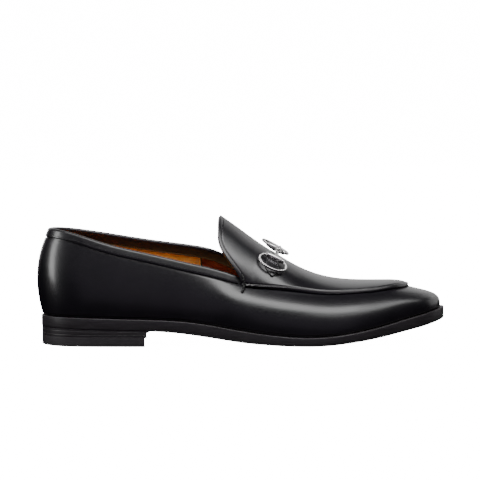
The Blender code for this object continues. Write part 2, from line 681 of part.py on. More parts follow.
def oval(centre, long_axis, wide_axis, length, width, steps):
    """Points round an oval about a centre."""
    turns = (2 * pi * k / steps for k in range(steps))
    return [centre + long_axis * (cos(t) * length / 2) + wide_axis * (sin(t) * width / 2) for t in turns]


def bit_frame(side):
    """Centre link's place, the directions along the shoe and out to a side, and how far out the ring lies."""
    crest, crest_normal = apron_place(BIT_LINK_AT, BIT_SHIFT, -1)
    link = crest + crest_normal * LINK_STAND_OFF
    reach = RING_REACH - side * BIT_SHIFT
    ring, ring_normal = apron_place(BIT_AT, reach, side)
    span = ring + ring_normal * BIT_STAND_OFF - link
    out = span.normalized()
    ahead = apron_place(BIT_AT + RING_WIRE, reach, side)[0] - ring
    ahead = (ahead - out * ahead.dot(out)).normalized()
    return link, ahead, out, span.length


def joined(name, parts, finish, parent):
    """One object of several overlapping closed parts, joined by Boolean unions."""
    pieces = []
    for number, bm in enumerate(parts):
        pieces.append(make_object(name if number == 0 else f"{name}_part{number}", bm, finish, parent))
    body = pieces[0]
    for extra in pieces[1:]:
        union = body.modifiers.new(extra.name, "BOOLEAN")
        union.operation = "UNION"
        union.object = extra
        extra.hide_render = True
        extra.display_type = "WIRE"
    return body


def bit_half(name, side, parent):
    """One cast half of the bit: eye, short bar, barrel, and an oval ring that is turned about the barrel."""
    link, ahead, out, span = bit_frame(side)
    ring_width = RING_WIDTH - RING_WIRE
    barrel_at = link + out * (span - ring_width / 2)
    turn = radians(RING_TURNS[side])
    turned = out * cos(turn) + ahead.cross(out) * sin(turn)
    ring_at = barrel_at + turned * ring_width / 2
    ring = bmesh.new()
    around = oval(ring_at, ahead, turned, RING_LENGTH - RING_WIRE, ring_width, RING_STEPS)
    tube(ring, around, [RING_WIRE / 2] * len(around), WIRE_SIDES, closed=True)
    barrel = bmesh.new()
    shares = np.linspace(-1, 1, BARREL_STEPS + 1)
    swell = [BARREL_END + (BARREL_DIAMETER - BARREL_END) * (1 - share**2) for share in shares]
    points = [barrel_at + turned * BARREL_SET + ahead * (share * BARREL_LENGTH / 2) for share in shares]
    tube(barrel, points, [width / 2 for width in swell], BARREL_SIDES)
    bar = bmesh.new()
    eye_at = link + out * (LINK_LENGTH - LINK_WIRE) / 2
    start = eye_at + out * (EYE_DIAMETER - EYE_WIRE) / 2
    ends = [start.lerp(barrel_at, share) for share in (0, *BAR_SHOULDERS, 1)]
    widths = EYE_WIRE, BAR_DIAMETER, BAR_DIAMETER, BARREL_END
    tube(bar, ends, [width / 2 for width in widths], BAR_SIDES)
    eye = bmesh.new()
    loop = oval(eye_at, ahead, out, EYE_DIAMETER - EYE_WIRE, EYE_DIAMETER - EYE_WIRE, EYE_STEPS)
    tube(eye, loop, [EYE_WIRE / 2] * len(loop), WIRE_SIDES, closed=True)
    return joined(name, (ring, barrel, bar, eye), POLISHED_STEEL, parent)


def bit_link(parent):
    """Small upright link through both eyes."""
    link, ahead, outer, _ = bit_frame(-1)
    inner = bit_frame(1)[2]
    across = (inner - outer).normalized()
    up = ahead.cross(across).normalized()
    up *= 1 if up.z > 0 else -1
    bm = bmesh.new()
    around = oval(link, across, up, LINK_LENGTH - LINK_WIRE, LINK_HEIGHT - LINK_WIRE, LINK_STEPS)
    tube(bm, around, [LINK_WIRE / 2] * len(around), WIRE_SIDES, closed=True)
    return make_object("bit_link", bm, POLISHED_STEEL, parent)


def bit_tab(name, side, parent):
    """Leather tab on the apron under the ring, with a pointed end."""
    start = TAB_START - side * BIT_SHIFT
    straight = TAB_END - TAB_POINT - start
    widths = [(start + straight * share, TAB_WIDTH) for share in TAB_ROWS]
    rows, tops = [], []
    for reach, width in [*widths, (TAB_END, TAB_WIDTH * TAB_TIP)]:
        places = [apron_place(BIT_AT + width * across, reach, side) for across in TAB_ACROSS]
        rows.append([point + normal * GAP for point, normal in places])
        tops.append([point + normal * (GAP + TAB_THICKNESS) for point, normal in places])
    return make_object(name, slab(np.array(tops), np.array(rows)), BOX_CALF, parent)


def main():
    """Builds every piece under one empty, and moves that so the origin is under the shoe's middle."""
    for old in list(bpy.data.objects):
        bpy.data.objects.remove(old, do_unlink=True)
    shoe = bpy.data.objects.new("shoe", None)
    bpy.context.collection.objects.link(shoe)
    outsole(shoe)
    heel(shoe)
    insole(shoe)
    upper(shoe)
    apron_tongue(shoe)
    topline_band(shoe)
    for side, where in ((-1, "lateral"), (1, "medial")):
        bit_tab(f"tab_{where}", side, shoe)
        bit_half(f"bit_half_{where}", side, shoe)
    bit_link(shoe)
    bpy.context.view_layer.update()
    corners = np.array([v.co for o in bpy.data.objects if o.type == "MESH" for v in o.data.vertices])
    middle = (corners.min(axis=0) + corners.max(axis=0)) / 2
    shoe.location = (-middle[0], -middle[1], 0)


main()
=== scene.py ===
"""The looks of a black bit loafer for the right foot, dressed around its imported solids.

Metres, toe along +X, outer side of the foot along -Y, +Z up. Every surface is worked out finely from the
last that the solids come from: a ring of ribs from the sole's feather line up to the seam under the topline
binding and the apron, and a row of arches that cross the instep between those ribs.
"""

import logging
from dataclasses import dataclass
from enum import Enum
from math import cos, pi, radians, sin
from typing import NamedTuple, Sequence

import bmesh
import bpy
import numpy as np
from mathutils import Matrix, Vector
from mathutils.kdtree import KDTree


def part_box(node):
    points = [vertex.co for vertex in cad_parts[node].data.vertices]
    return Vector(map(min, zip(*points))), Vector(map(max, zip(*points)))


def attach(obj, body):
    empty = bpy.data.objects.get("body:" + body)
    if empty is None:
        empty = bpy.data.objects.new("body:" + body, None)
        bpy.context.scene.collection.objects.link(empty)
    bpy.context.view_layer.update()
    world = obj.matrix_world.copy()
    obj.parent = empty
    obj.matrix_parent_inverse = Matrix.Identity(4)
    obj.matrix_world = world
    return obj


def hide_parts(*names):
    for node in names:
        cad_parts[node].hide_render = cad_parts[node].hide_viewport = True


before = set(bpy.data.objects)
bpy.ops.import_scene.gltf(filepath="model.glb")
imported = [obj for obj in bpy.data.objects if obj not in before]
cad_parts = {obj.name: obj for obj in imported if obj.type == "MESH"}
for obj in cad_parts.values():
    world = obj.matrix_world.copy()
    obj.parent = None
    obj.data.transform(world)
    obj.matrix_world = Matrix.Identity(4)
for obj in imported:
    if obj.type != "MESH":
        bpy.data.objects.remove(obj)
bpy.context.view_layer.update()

LOG = logging.getLogger("loafer")
MM = 0.001
BODY = "root"
WELD_DISTANCE = 0.002 * MM
SHARP_ANGLE = 50
SHIFT_RIBS = 1280
UP = np.array([0.0, 0.0, 1.0])


class Side(Enum):
    """Side of the foot, by the sign of Y it lies on."""

    OUTER = -1
    INNER = 1


class Rib(NamedTuple):
    """One rib of the last. foot_x and top_x are shares of its length, foot_y and top_y of half the ball's
    width, and rise is the seam's height over the feather line as a share of the counter's. splay and lean
    are the wall's slopes from upright at its foot and top in degrees, foot_hold and top_hold for which
    share of the chord it keeps them, and welt is the sole's reach past it."""

    foot_x: float
    foot_y: float
    top_x: float
    top_y: float
    rise: float
    splay: float
    lean: float
    foot_hold: float
    top_hold: float
    welt: float


HEEL_RIB = Rib(0.0, 0.0, 0.0078, 0.0, 1.000, 17, 24, 0.33, 0.35, 0.30)
TOE_RIB = Rib(1.0, 0.0, 0.917, 0.0, 0.376, 4, 75, 0.38, 0.68, 0.85)
OUTER_RIBS = (
    Rib(0.0186, 0.328, 0.0270, 0.262, 0.998, 15, 22, 0.33, 0.35, 0.30),
    Rib(0.0710, 0.564, 0.0830, 0.455, 0.950, 13, 19, 0.33, 0.35, 0.35),
    Rib(0.1690, 0.669, 0.1690, 0.579, 0.829, 11, 17, 0.33, 0.34, 0.40),
    Rib(0.2710, 0.717, 0.2670, 0.630, 0.723, 10, 17, 0.33, 0.34, 0.40),
    Rib(0.3655, 0.748, 0.3570, 0.656, 0.639, 10, 20, 0.33, 0.35, 0.45),
    Rib(0.4500, 0.831, 0.4320, 0.669, 0.599, 11, 30, 0.33, 0.38, 0.60),
    Rib(0.5210, 0.951, 0.4940, 0.678, 0.569, 9, 44, 0.34, 0.44, 0.80),
    Rib(0.5920, 1.045, 0.5700, 0.710, 0.576, 8, 54, 0.35, 0.48, 0.95),
    Rib(0.6630, 1.075, 0.6440, 0.728, 0.567, 7, 59, 0.36, 0.50, 1.00),
    Rib(0.7310, 1.045, 0.7130, 0.706, 0.523, 6, 61, 0.36, 0.50, 1.00),
    Rib(0.7990, 0.940, 0.7780, 0.630, 0.487, 6, 62, 0.36, 0.50, 1.00),
    Rib(0.8630, 0.780, 0.8360, 0.520, 0.447, 6, 64, 0.37, 0.52, 0.95),
    Rib(0.9205, 0.600, 0.8765, 0.385, 0.420, 5, 69, 0.37, 0.60, 0.90),
    Rib(0.9680, 0.415, 0.9040, 0.225, 0.391, 4, 73, 0.38, 0.66, 0.85),
    Rib(0.9925, 0.220, 0.9145, 0.108, 0.379, 4, 75, 0.38, 0.68, 0.85),
)
INNER_RIBS = (
    Rib(0.0186, 0.310, 0.0270, 0.262, 0.998, 15, 22, 0.33, 0.35, 0.30),
    Rib(0.0710, 0.546, 0.0830, 0.448, 0.972, 13, 18, 0.33, 0.35, 0.35),
    Rib(0.1690, 0.625, 0.1690, 0.557, 0.910, 14, 15, 0.33, 0.34, 0.35),
    Rib(0.2710, 0.597, 0.2670, 0.586, 0.838, 18, 15, 0.33, 0.34, 0.25),
    Rib(0.3655, 0.573, 0.3570, 0.594, 0.799, 20, 17, 0.34, 0.35, 0.20),
    Rib(0.4500, 0.630, 0.4320, 0.603, 0.769, 18, 24, 0.34, 0.37, 0.35),
    Rib(0.5210, 0.732, 0.4940, 0.612, 0.682, 14, 36, 0.34, 0.42, 0.55),
    Rib(0.5920, 0.863, 0.5700, 0.634, 0.636, 10, 47, 0.35, 0.46, 0.75),
    Rib(0.6630, 0.951, 0.6440, 0.651, 0.602, 8, 54, 0.36, 0.48, 0.85),
    Rib(0.7310, 0.984, 0.7130, 0.638, 0.552, 6, 58, 0.36, 0.50, 0.90),
    Rib(0.7990, 0.940, 0.7780, 0.581, 0.505, 6, 60, 0.36, 0.50, 0.90),
    Rib(0.8630, 0.810, 0.8360, 0.490, 0.456, 6, 63, 0.37, 0.52, 0.90),
    Rib(0.9205, 0.625, 0.8765, 0.366, 0.422, 5, 69, 0.37, 0.60, 0.90),
    Rib(0.9680, 0.425, 0.9040, 0.218, 0.391, 4, 73, 0.38, 0.66, 0.85),
    Rib(0.9925, 0.225, 0.9145, 0.106, 0.379, 4, 75, 0.38, 0.68, 0.85),
)


class Bed(NamedTuple):
    """The feather line's surface at a share of the length: how much of the heel's lift, the toe's spring
    and the arch's lift it has, the edge's thickness as a share of its size, and how much camber the
    underside has."""

    at: float
    heel: float
    toe: float
    arch: float
    edge: float
    belly: float


BED = (
    Bed(-0.05, 1.000, 0.000, 0.0, 1.30, 0.0),
    Bed(0.00, 1.000, 0.000, 0.0, 1.30, 0.0),
    Bed(0.15, 0.930, 0.000, 0.1, 1.30, 0.0),
    Bed(0.28, 0.855, 0.000, 0.6, 1.30, 0.0),
    Bed(0.345, 0.780, 0.000, 0.9, 1.38, 0.3),
    Bed(0.415, 0.610, 0.000, 1.0, 1.43, 0.8),
    Bed(0.46, 0.455, 0.000, 0.8, 1.38, 1.0),
    Bed(0.51, 0.295, 0.000, 0.5, 1.30, 1.0),
    Bed(0.56, 0.165, 0.000, 0.2, 1.18, 1.0),
    Bed(0.60, 0.080, 0.000, 0.1, 1.09, 1.0),
    Bed(0.646, 0.010, 0.000, 0.0, 1.00, 1.0),
    Bed(0.70, 0.000, 0.012, 0.0, 1.00, 1.0),
    Bed(0.774, 0.000, 0.152, 0.0, 1.06, 0.9),
    Bed(0.85, 0.000, 0.405, 0.0, 1.19, 0.7),
    Bed(0.917, 0.000, 0.700, 0.0, 1.33, 0.5),
    Bed(0.96, 0.000, 0.872, 0.0, 1.36, 0.3),
    Bed(1.00, 0.000, 1.060, 0.0, 1.34, 0.1),
    Bed(1.02, 0.000, 1.150, 0.0, 1.34, 0.0),
)


class Arch(NamedTuple):
    """An arch over the instep, by the place of its crest: its rise as a share of the instep's, 1 for a half
    ellipse and 2 for a parabola, and the hollow above the seam."""

    at: float
    rise: float
    roundness: float
    flare: float


ARCHES = (
    Arch(0.440, 1.615, 1.15, 0.00),
    Arch(0.488, 1.306, 1.18, 0.06),
    Arch(0.533, 1.000, 1.22, 0.20),
    Arch(0.575, 0.771, 1.28, 0.28),
    Arch(0.646, 0.442, 1.50, 0.22),
    Arch(0.714, 0.268, 1.60, 0.08),
    Arch(0.778, 0.183, 1.55, 0.00),
    Arch(0.836, 0.152, 1.40, 0.00),
    Arch(0.8765, 0.114, 1.20, 0.00),
    Arch(0.904, 0.074, 1.30, 0.00),
    Arch(0.9145, 0.025, 1.60, 0.00),
    Arch(0.917, 0.000, 1.60, 0.00),
)

COLLAR_END_ROW = 7.0
APRON_START_ROW = 7.12
THROAT_ROW = 7.5
TOE_ROW = 16.0
RING_ROWS = 2 * TOE_ROW


class Spline:
    """Natural cubic spline through rows of values."""

    def __init__(self, knots: Sequence[float], values: Sequence[Sequence[float]]) -> None:
        """Solves the bends at the knots.

        Args:
            knots: Where the rows stand.
            values: One row of values for each knot.
        """
        self.knots = np.asarray(knots, float)
        self.values = np.asarray(values, float)
        steps = np.diff(self.knots)
        slopes = np.diff(self.values, axis=0) / steps[:, None]
        system = np.eye(len(self.knots))
        bends = np.zeros_like(self.values)
        for i in range(1, len(self.knots) - 1):
            system[i, i - 1 : i + 2] = steps[i - 1], 2 * (steps[i - 1] + steps[i]), steps[i]
            bends[i] = 6 * (slopes[i] - slopes[i - 1])
        self.steps = steps
        self.bends = np.linalg.solve(system, bends)

    def at(self, places: np.ndarray) -> np.ndarray:
        """Reads the spline.

        Args:
            places: Numbers on the knots' scale.

        Returns:
            One row of values for each place.
        """
        places = np.clip(np.ravel(places), self.knots[0], self.knots[-1])
        i = np.clip(np.searchsorted(self.knots, places) - 1, 0, len(self.steps) - 1)
        h = self.steps[i][:, None]
        before = (self.knots[i + 1] - places)[:, None] / h
        after = 1 - before
        bent = (before**3 - before) * self.bends[i] + (after**3 - after) * self.bends[i + 1]
        return before * self.values[i] + after * self.values[i + 1] + bent * h**2 / 6


def ring_spline() -> Spline:
    """Spline of the ribs round the whole last, with rows wrapped past each end.

    Returns:
        The spline, by row number from the heel round the outer side, the toe and the inner side.
    """
    outer = [rib._replace(foot_y=-rib.foot_y, top_y=-rib.top_y) for rib in OUTER_RIBS]
    ring = [HEEL_RIB, *outer, TOE_RIB, *reversed(INNER_RIBS)]
    wrap = 6
    return Spline(range(-wrap, len(ring) + wrap + 1), ring[-wrap:] + ring + ring[: wrap + 1])


RIB_SPLINE = ring_spline()
BED_SPLINE = Spline([bed.at for bed in BED], [bed[1:] for bed in BED])
ARCH_SPLINE = Spline([arch.at for arch in ARCHES], [arch[1:] for arch in ARCHES])


@dataclass(frozen=True)
class Ribs:
    """Feet, tops, slopes and level outward directions of ribs at a line of rows."""

    rows: np.ndarray
    foot: np.ndarray
    top: np.ndarray
    foot_out: np.ndarray
    top_out: np.ndarray
    splay: np.ndarray
    lean: np.ndarray
    foot_hold: np.ndarray
    top_hold: np.ndarray
    welt: np.ndarray

    def wall(self, share: float) -> np.ndarray:
        """Points of the wall's outer face.

        Args:
            share: How far up the wall they lie, from 0 at its foot to 1 at its top.

        Returns:
            One point for each rib.
        """
        tip = self.foot_out * np.sin(self.splay)[:, None] + UP * np.cos(self.splay)[:, None]
        drop = self.top_out * np.sin(self.lean)[:, None] - UP * np.cos(self.lean)[:, None]
        low = self.foot + tip * self.foot_hold[:, None]
        high = self.top + drop * self.top_hold[:, None]
        rest = 1 - share
        ends = rest**3 * self.foot + share**3 * self.top
        return ends + 3 * rest**2 * share * low + 3 * rest * share**2 * high


@dataclass(frozen=True)
class Last:
    """The last that the shoe is made on, and the sizes that all pieces take from it."""

    length: float = 0.2955
    ball_width: float = 0.0915
    heel_seat: float = 0.0222
    toe_spring: float = 0.0165
    arch_lift: float = 0.0025
    counter_height: float = 0.0566
    instep_rise: float = 0.0284
    sole_edge: float = 0.0067
    sole_camber: float = 0.0011
    ball_flat: float = 0.00025
    welt_reach: float = 0.0032
    wall: float = 0.0018
    gap: float = 0.0003
    tongue_reach: float = 0.0263
    tongue_nip: float = 0.0018
    tongue_shoulder: float = 0.77
    tongue_bend: float = 1.65
    collar_lean: float = 21.0
    end_slant: float = 0.0030
    band_width: float = 0.0083
    nip_power: int = 8
    flare_power: int = 4
    tongue_crowding: float = 1.5
    tip_crowding: float = 1.25
    row_step: float = 0.02

    def feather(self, x: np.ndarray, y: np.ndarray) -> np.ndarray:
        """Height of the feather line's surface over the floor.

        Args:
            x: Places along the shoe.
            y: Places across it, in the shape of x.

        Returns:
            The heights, in the shape of x.
        """
        ball = self.sole_edge + self.sole_camber
        heel, toe, arch = BED_SPLINE.at(x / self.length)[:, :3].T
        inner = np.clip(np.ravel(y) / (self.ball_width / 2), 0, 1) ** 2
        ends = heel * (self.heel_seat - ball) + toe * self.toe_spring
        return (ball + ends + arch * self.arch_lift * 2 * inner).reshape(np.shape(x))

    def lines(self, rows: np.ndarray) -> tuple[np.ndarray, np.ndarray, np.ndarray]:
        """Feet and tops of the ribs.

        Args:
            rows: Row numbers of the tables.

        Returns:
            Feet, tops and the other columns of the tables, by row.
        """
        table = RIB_SPLINE.at(rows)
        half = self.ball_width / 2
        foot_x, foot_y = table[:, 0] * self.length, table[:, 1] * half
        top_x, top_y = table[:, 2] * self.length, table[:, 3] * half
        foot = np.stack([foot_x, foot_y, self.feather(foot_x, foot_y)], axis=1)
        seam = self.feather(top_x, 0 * top_x) + table[:, 4] * self.counter_height
        top = np.stack([top_x, top_y, seam], axis=1)
        return foot, top, table[:, 4:]

    def ribs(self, rows: np.ndarray) -> Ribs:
        """The ribs at rows.

        Args:
            rows: Row numbers of the tables; the ring has RING_ROWS of them and wraps.

        Returns:
            The ribs, ready to give points of walls and soles.
        """
        rows = np.asarray(rows, float)
        foot, top, more = self.lines(np.mod(rows, RING_ROWS))
        after = self.lines(np.mod(rows, RING_ROWS) + self.row_step)
        before = self.lines(np.mod(rows, RING_ROWS) - self.row_step)
        outs = []
        for k in (0, 1):
            along = after[k] - before[k]
            across = np.stack([along[:, 1], -along[:, 0], np.zeros(len(rows))], axis=1)
            outs.append(across / np.linalg.norm(across, axis=1)[:, None])
        chord = np.linalg.norm(top - foot, axis=1)
        splay, lean = np.radians(more[:, 1]), np.radians(more[:, 2])
        return Ribs(
            rows, foot, top, outs[0], outs[1], splay, lean, more[:, 3] * chord, more[:, 4] * chord,
            more[:, 5] * self.welt_reach,
        )

    def inside(self, ribs: Ribs, reach: float | np.ndarray) -> np.ndarray:
        """Feet of the ribs, moved on the feather line's surface.

        Args:
            ribs: The ribs.
            reach: How far inwards they move, or outwards where negative; one number or one for each rib.

        Returns:
            The moved feet.
        """
        moved = ribs.foot - ribs.foot_out * np.reshape(reach, (-1, 1))
        moved[:, 2] = self.feather(moved[:, 0], moved[:, 1])
        return moved

    def collar(self, ribs: Ribs, height: float, proud: float) -> np.ndarray:
        """Points of the collar above the seam.

        Args:
            ribs: The ribs that they belong to.
            height: Their height over the seam, along the collar's slope.
            proud: How far they stand out of the wall's face.

        Returns:
            One point for each rib.
        """
        lean = radians(self.collar_lean)
        rise = UP * cos(lean) - ribs.top_out * sin(lean)
        return ribs.top + rise * height + self.collar_face(ribs) * proud

    def collar_face(self, ribs: Ribs) -> np.ndarray:
        """Unit normals of the collar's outer face at the ribs."""
        lean = radians(self.collar_lean)
        return ribs.top_out * cos(lean) + UP * sin(lean)

    def seam(self, rows: np.ndarray) -> tuple[np.ndarray, np.ndarray]:
        """Seam points of the outer and the inner side at rows."""
        return self.lines(rows)[1], self.lines(RING_ROWS - np.asarray(rows))[1]

    def arches(self, rows: np.ndarray, crests: np.ndarray, turns: np.ndarray) -> np.ndarray:
        """Grid of points over the instep.

        Args:
            rows: Row of the tables of each arch.
            crests: X of each arch's crest.
            turns: Angles across the arches, from -pi / 2 at the outer seam to pi / 2 at the inner one.

        Returns:
            Points by arch and by turn.
        """
        rise, roundness, flare = (column[:, None] for column in ARCH_SPLINE.at(crests / self.length).T)
        outer, inner = self.seam(rows)
        across = ((1 + np.sin(turns)) / 2)[None, :, None]
        points = outer[:, None] * (1 - across) + inner[:, None] * across
        hollow = 1 - flare * np.sin(turns)[None] ** self.flare_power
        level = np.maximum(np.cos(turns), 0)[None] ** roundness * hollow
        bend = np.sin(pi / 2 * np.minimum(1, level / self.tongue_shoulder)) ** self.tongue_bend
        reach = (crests - (outer[:, 0] + inner[:, 0]) / 2)[:, None]
        nip = self.tongue_nip * level**self.nip_power * np.clip(-reach / self.tongue_reach, 0, 1)
        points[:, :, 0] += reach * bend + nip
        points[:, :, 2] += level * rise * self.instep_rise
        return points

    def apron_rows(self, tongue: int, vamp: int) -> tuple[np.ndarray, np.ndarray]:
        """Rows and crests from the tongue's free edge to the tip of the apron.

        Args:
            tongue: Count of arches over the tongue, drawn together at its free edge.
            vamp: Count of arches from the throat to the tip.

        Returns:
            The row of each arch and the X of its crest.
        """
        throat = self.middle(np.array([THROAT_ROW]))[0]
        share = (np.arange(tongue) / tongue) ** self.tongue_crowding
        tongue_rows = APRON_START_ROW + (THROAT_ROW - APRON_START_ROW) * share
        along = 1 - (1 - np.linspace(0, 1, vamp)) ** self.tip_crowding
        vamp_rows = THROAT_ROW + (TOE_ROW - THROAT_ROW) * along
        crests = np.concatenate([throat - self.tongue_reach * (1 - share), self.middle(vamp_rows)])
        return np.concatenate([tongue_rows, vamp_rows]), crests

    def middle(self, rows: np.ndarray) -> np.ndarray:
        """X halfway between the two seams at rows."""
        outer, inner = self.seam(rows)
        return (outer[:, 0] + inner[:, 0]) / 2


LAST = Last()


def ring_rows(count: int) -> np.ndarray:
    """Rows of a whole ring of count ribs."""
    return np.arange(count) * RING_ROWS / count


def shoe_shift() -> Vector:
    """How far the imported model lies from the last's own frame, found from the box round its outsole.

    Returns:
        The shift to add to every point.
    """
    ribs = LAST.ribs(ring_rows(SHIFT_RIBS))
    sole = LAST.inside(ribs, -ribs.welt)
    low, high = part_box("outsole")
    middle = (sole.min(axis=0) + sole.max(axis=0)) / 2
    return Vector(((low[0] + high[0]) / 2 - middle[0], (low[1] + high[1]) / 2 - middle[1], 0))


SHIFT = np.array(shoe_shift())


def normals_of(grid: np.ndarray, closed: bool = False) -> np.ndarray:
    """Unit normals of a grid of points, out of the shoe.

    Args:
        grid: Points by row and column; rows run from the heel along the outer side, columns inwards or up.
        closed: Whether the last row meets the first.

    Returns:
        One unit vector for each point.
    """
    around = np.roll(grid, -1, axis=0) - np.roll(grid, 1, axis=0) if closed else np.gradient(grid, axis=0)
    normals = np.cross(around, np.gradient(grid, axis=1))
    size = np.linalg.norm(normals, axis=2)
    vanishing = 1e-7
    for i, j in zip(*np.nonzero(size < vanishing * size.max())):
        normals[i, j] = normals[i - 1, j]
        size[i, j] = size[i - 1, j]
    return normals / size[:, :, None]


def lifted(grid: np.ndarray, lift: np.ndarray | float, normals: np.ndarray | None = None) -> np.ndarray:
    """A grid of points moved off its own surface, outwards, by lift."""
    normals = normals_of(grid) if normals is None else normals
    return grid + normals * np.broadcast_to(np.asarray(lift), grid.shape[:2])[:, :, None]


def distances(points: np.ndarray, line: np.ndarray) -> np.ndarray:
    """Distances of the points of a grid from a line.

    Args:
        points: The grid.
        line: Closely set points of the line.

    Returns:
        One distance for each point of the grid.
    """
    tree = KDTree(len(line))
    for number, point in enumerate(line):
        tree.insert(point, number)
    tree.balance()
    flat = points.reshape(-1, 3)
    return np.array([tree.find(point)[2] for point in flat]).reshape(points.shape[:-1])


def bump_at(distance: np.ndarray, centre: float, width: float) -> np.ndarray:
    """Smooth ridge of height 1 round a distance."""
    return np.exp(-(((distance - centre) / width) ** 2))


def rounded_edge(distance: np.ndarray, radius: float) -> np.ndarray:
    """How far a rounded edge has dropped below its face at a distance from the edge."""
    inside = np.clip(radius - distance, 0, radius)
    return radius - np.sqrt(np.maximum(radius**2 - inside**2, 0))


def linear(colour: str) -> tuple[float, float, float, float]:
    """Turns a colour into the linear values that shaders take.

    Args:
        colour: The colour as sRGB hex.

    Returns:
        Linear red, green and blue, and full alpha.
    """
    parts = [int(colour[k : k + 2], 16) / 255 for k in (1, 3, 5)]
    red, green, blue = (
        part / 12.92 if part <= 0.04045 else ((part + 0.055) / 1.055) ** 2.4 for part in parts
    )
    return red, green, blue, 1.0


def add_node(tree: bpy.types.NodeTree, kind: str, settings: dict, links: dict) -> bpy.types.Node:
    """Adds a node to a tree.

    Args:
        tree: The material's or world's node tree.
        kind: The node's Blender type.
        settings: Values by the name of an input socket, or of one of the node's own options.
        links: Output sockets by the name of the input socket that each one feeds.

    Returns:
        The node.
    """
    node = tree.nodes.new(kind)
    for name, value in settings.items():
        if name in node.inputs:
            node.inputs[name].default_value = value
        else:
            setattr(node, name, value)
    for name, socket in links.items():
        tree.links.new(socket, node.inputs[name])
    return node


@dataclass(frozen=True)
class Finish:
    """What every finish has: the real material's name, its colour, gloss and clear coat."""

    name: str
    colour: str
    roughness: float
    ior: float = 1.5
    metallic: float = 0.0
    coat: float = 0.0
    coat_roughness: float = 0.1

    def material(self) -> bpy.types.Material:
        """Makes the Blender material, or finds it where another piece has this finish.

        Returns:
            The material.
        """
        made = bpy.data.materials.get(self.name)
        if made:
            return made
        made = bpy.data.materials.new(self.name)
        made.use_nodes = True
        shader = made.node_tree.nodes["Principled BSDF"]
        shader.inputs["Base Color"].default_value = linear(self.colour)
        shader.inputs["Roughness"].default_value = self.roughness
        shader.inputs["Metallic"].default_value = self.metallic
        shader.inputs["Coat Weight"].default_value = self.coat
        shader.inputs["Coat Roughness"].default_value = self.coat_roughness
        if self.metallic == 0:
            shader.inputs["IOR"].default_value = self.ior
        self.dress(made.node_tree, shader)
        return made

    def dress(self, tree: bpy.types.NodeTree, shader: bpy.types.Node) -> None:
        """Adds the finish's own pattern.

        Args:
            tree: The material's node tree.
            shader: Its Principled shader.
        """


def coordinates(
    tree: bpy.types.NodeTree, stretch: tuple[float, float, float] = (1, 1, 1)
) -> bpy.types.NodeSocket:
    """Places on the object in metres, stretched along its axes."""
    place = add_node(tree, "ShaderNodeTexCoord", {}, {}).outputs["Object"]
    return add_node(tree, "ShaderNodeMapping", {"Scale": stretch}, {"Vector": place}).outputs[0]


def noise(
    tree: bpy.types.NodeTree, where: bpy.types.NodeSocket, size: float, detail: float
) -> bpy.types.NodeSocket:
    """Soft noise whose patches are about size metres across."""
    settings = {"Scale": 1 / size, "Detail": detail, "Roughness": 0.55}
    return add_node(tree, "ShaderNodeTexNoise", settings, {"Vector": where}).outputs["Fac"]


def ramp(
    tree: bpy.types.NodeTree, value: bpy.types.NodeSocket, low: float, high: float
) -> bpy.types.NodeSocket:
    """A noise's middle values spread from low to high."""
    settings = {"From Min": 0.3, "From Max": 0.7, "To Min": low, "To Max": high}
    return add_node(tree, "ShaderNodeMapRange", settings, {"Value": value}).outputs[0]


def tinted(
    tree: bpy.types.NodeTree, value: bpy.types.NodeSocket, colours: Sequence[tuple[float, str]]
) -> bpy.types.NodeSocket:
    """Picks a colour by a value.

    Args:
        tree: The material's node tree.
        value: The value, from 0 to 1.
        colours: The stops, each a place from 0 to 1 and a colour as sRGB hex.

    Returns:
        The colour's socket.
    """
    node = add_node(tree, "ShaderNodeValToRGB", {}, {"Fac": value})
    stops = node.color_ramp.elements
    while len(stops) < len(colours):
        stops.new(0.5)
    for stop, (place, colour) in zip(stops, colours):
        stop.position = place
        stop.color = linear(colour)
    return node.outputs["Color"]


def bump(
    tree: bpy.types.NodeTree,
    height: bpy.types.NodeSocket,
    strength: float,
    distance: float,
    under: bpy.types.NodeSocket | None = None,
) -> bpy.types.NodeSocket:
    """Adds a bump.

    Args:
        tree: The material's node tree.
        height: The pattern that it raises.
        strength: How strongly it shows, from 0 to 1.
        distance: Its height in metres.
        under: Another bump that it lies over, if there is one.

    Returns:
        The bumped normal's socket.
    """
    links = {"Height": height} if under is None else {"Height": height, "Normal": under}
    return add_node(tree, "ShaderNodeBump", {"Strength": strength, "Distance": distance}, links).outputs[0]


def joined(
    tree: bpy.types.NodeTree, shader: bpy.types.Node, sockets: dict[str, bpy.types.NodeSocket]
) -> None:
    """Feeds the shader's inputs, each given by its name."""
    for name, socket in sockets.items():
        tree.links.new(socket, shader.inputs[name])


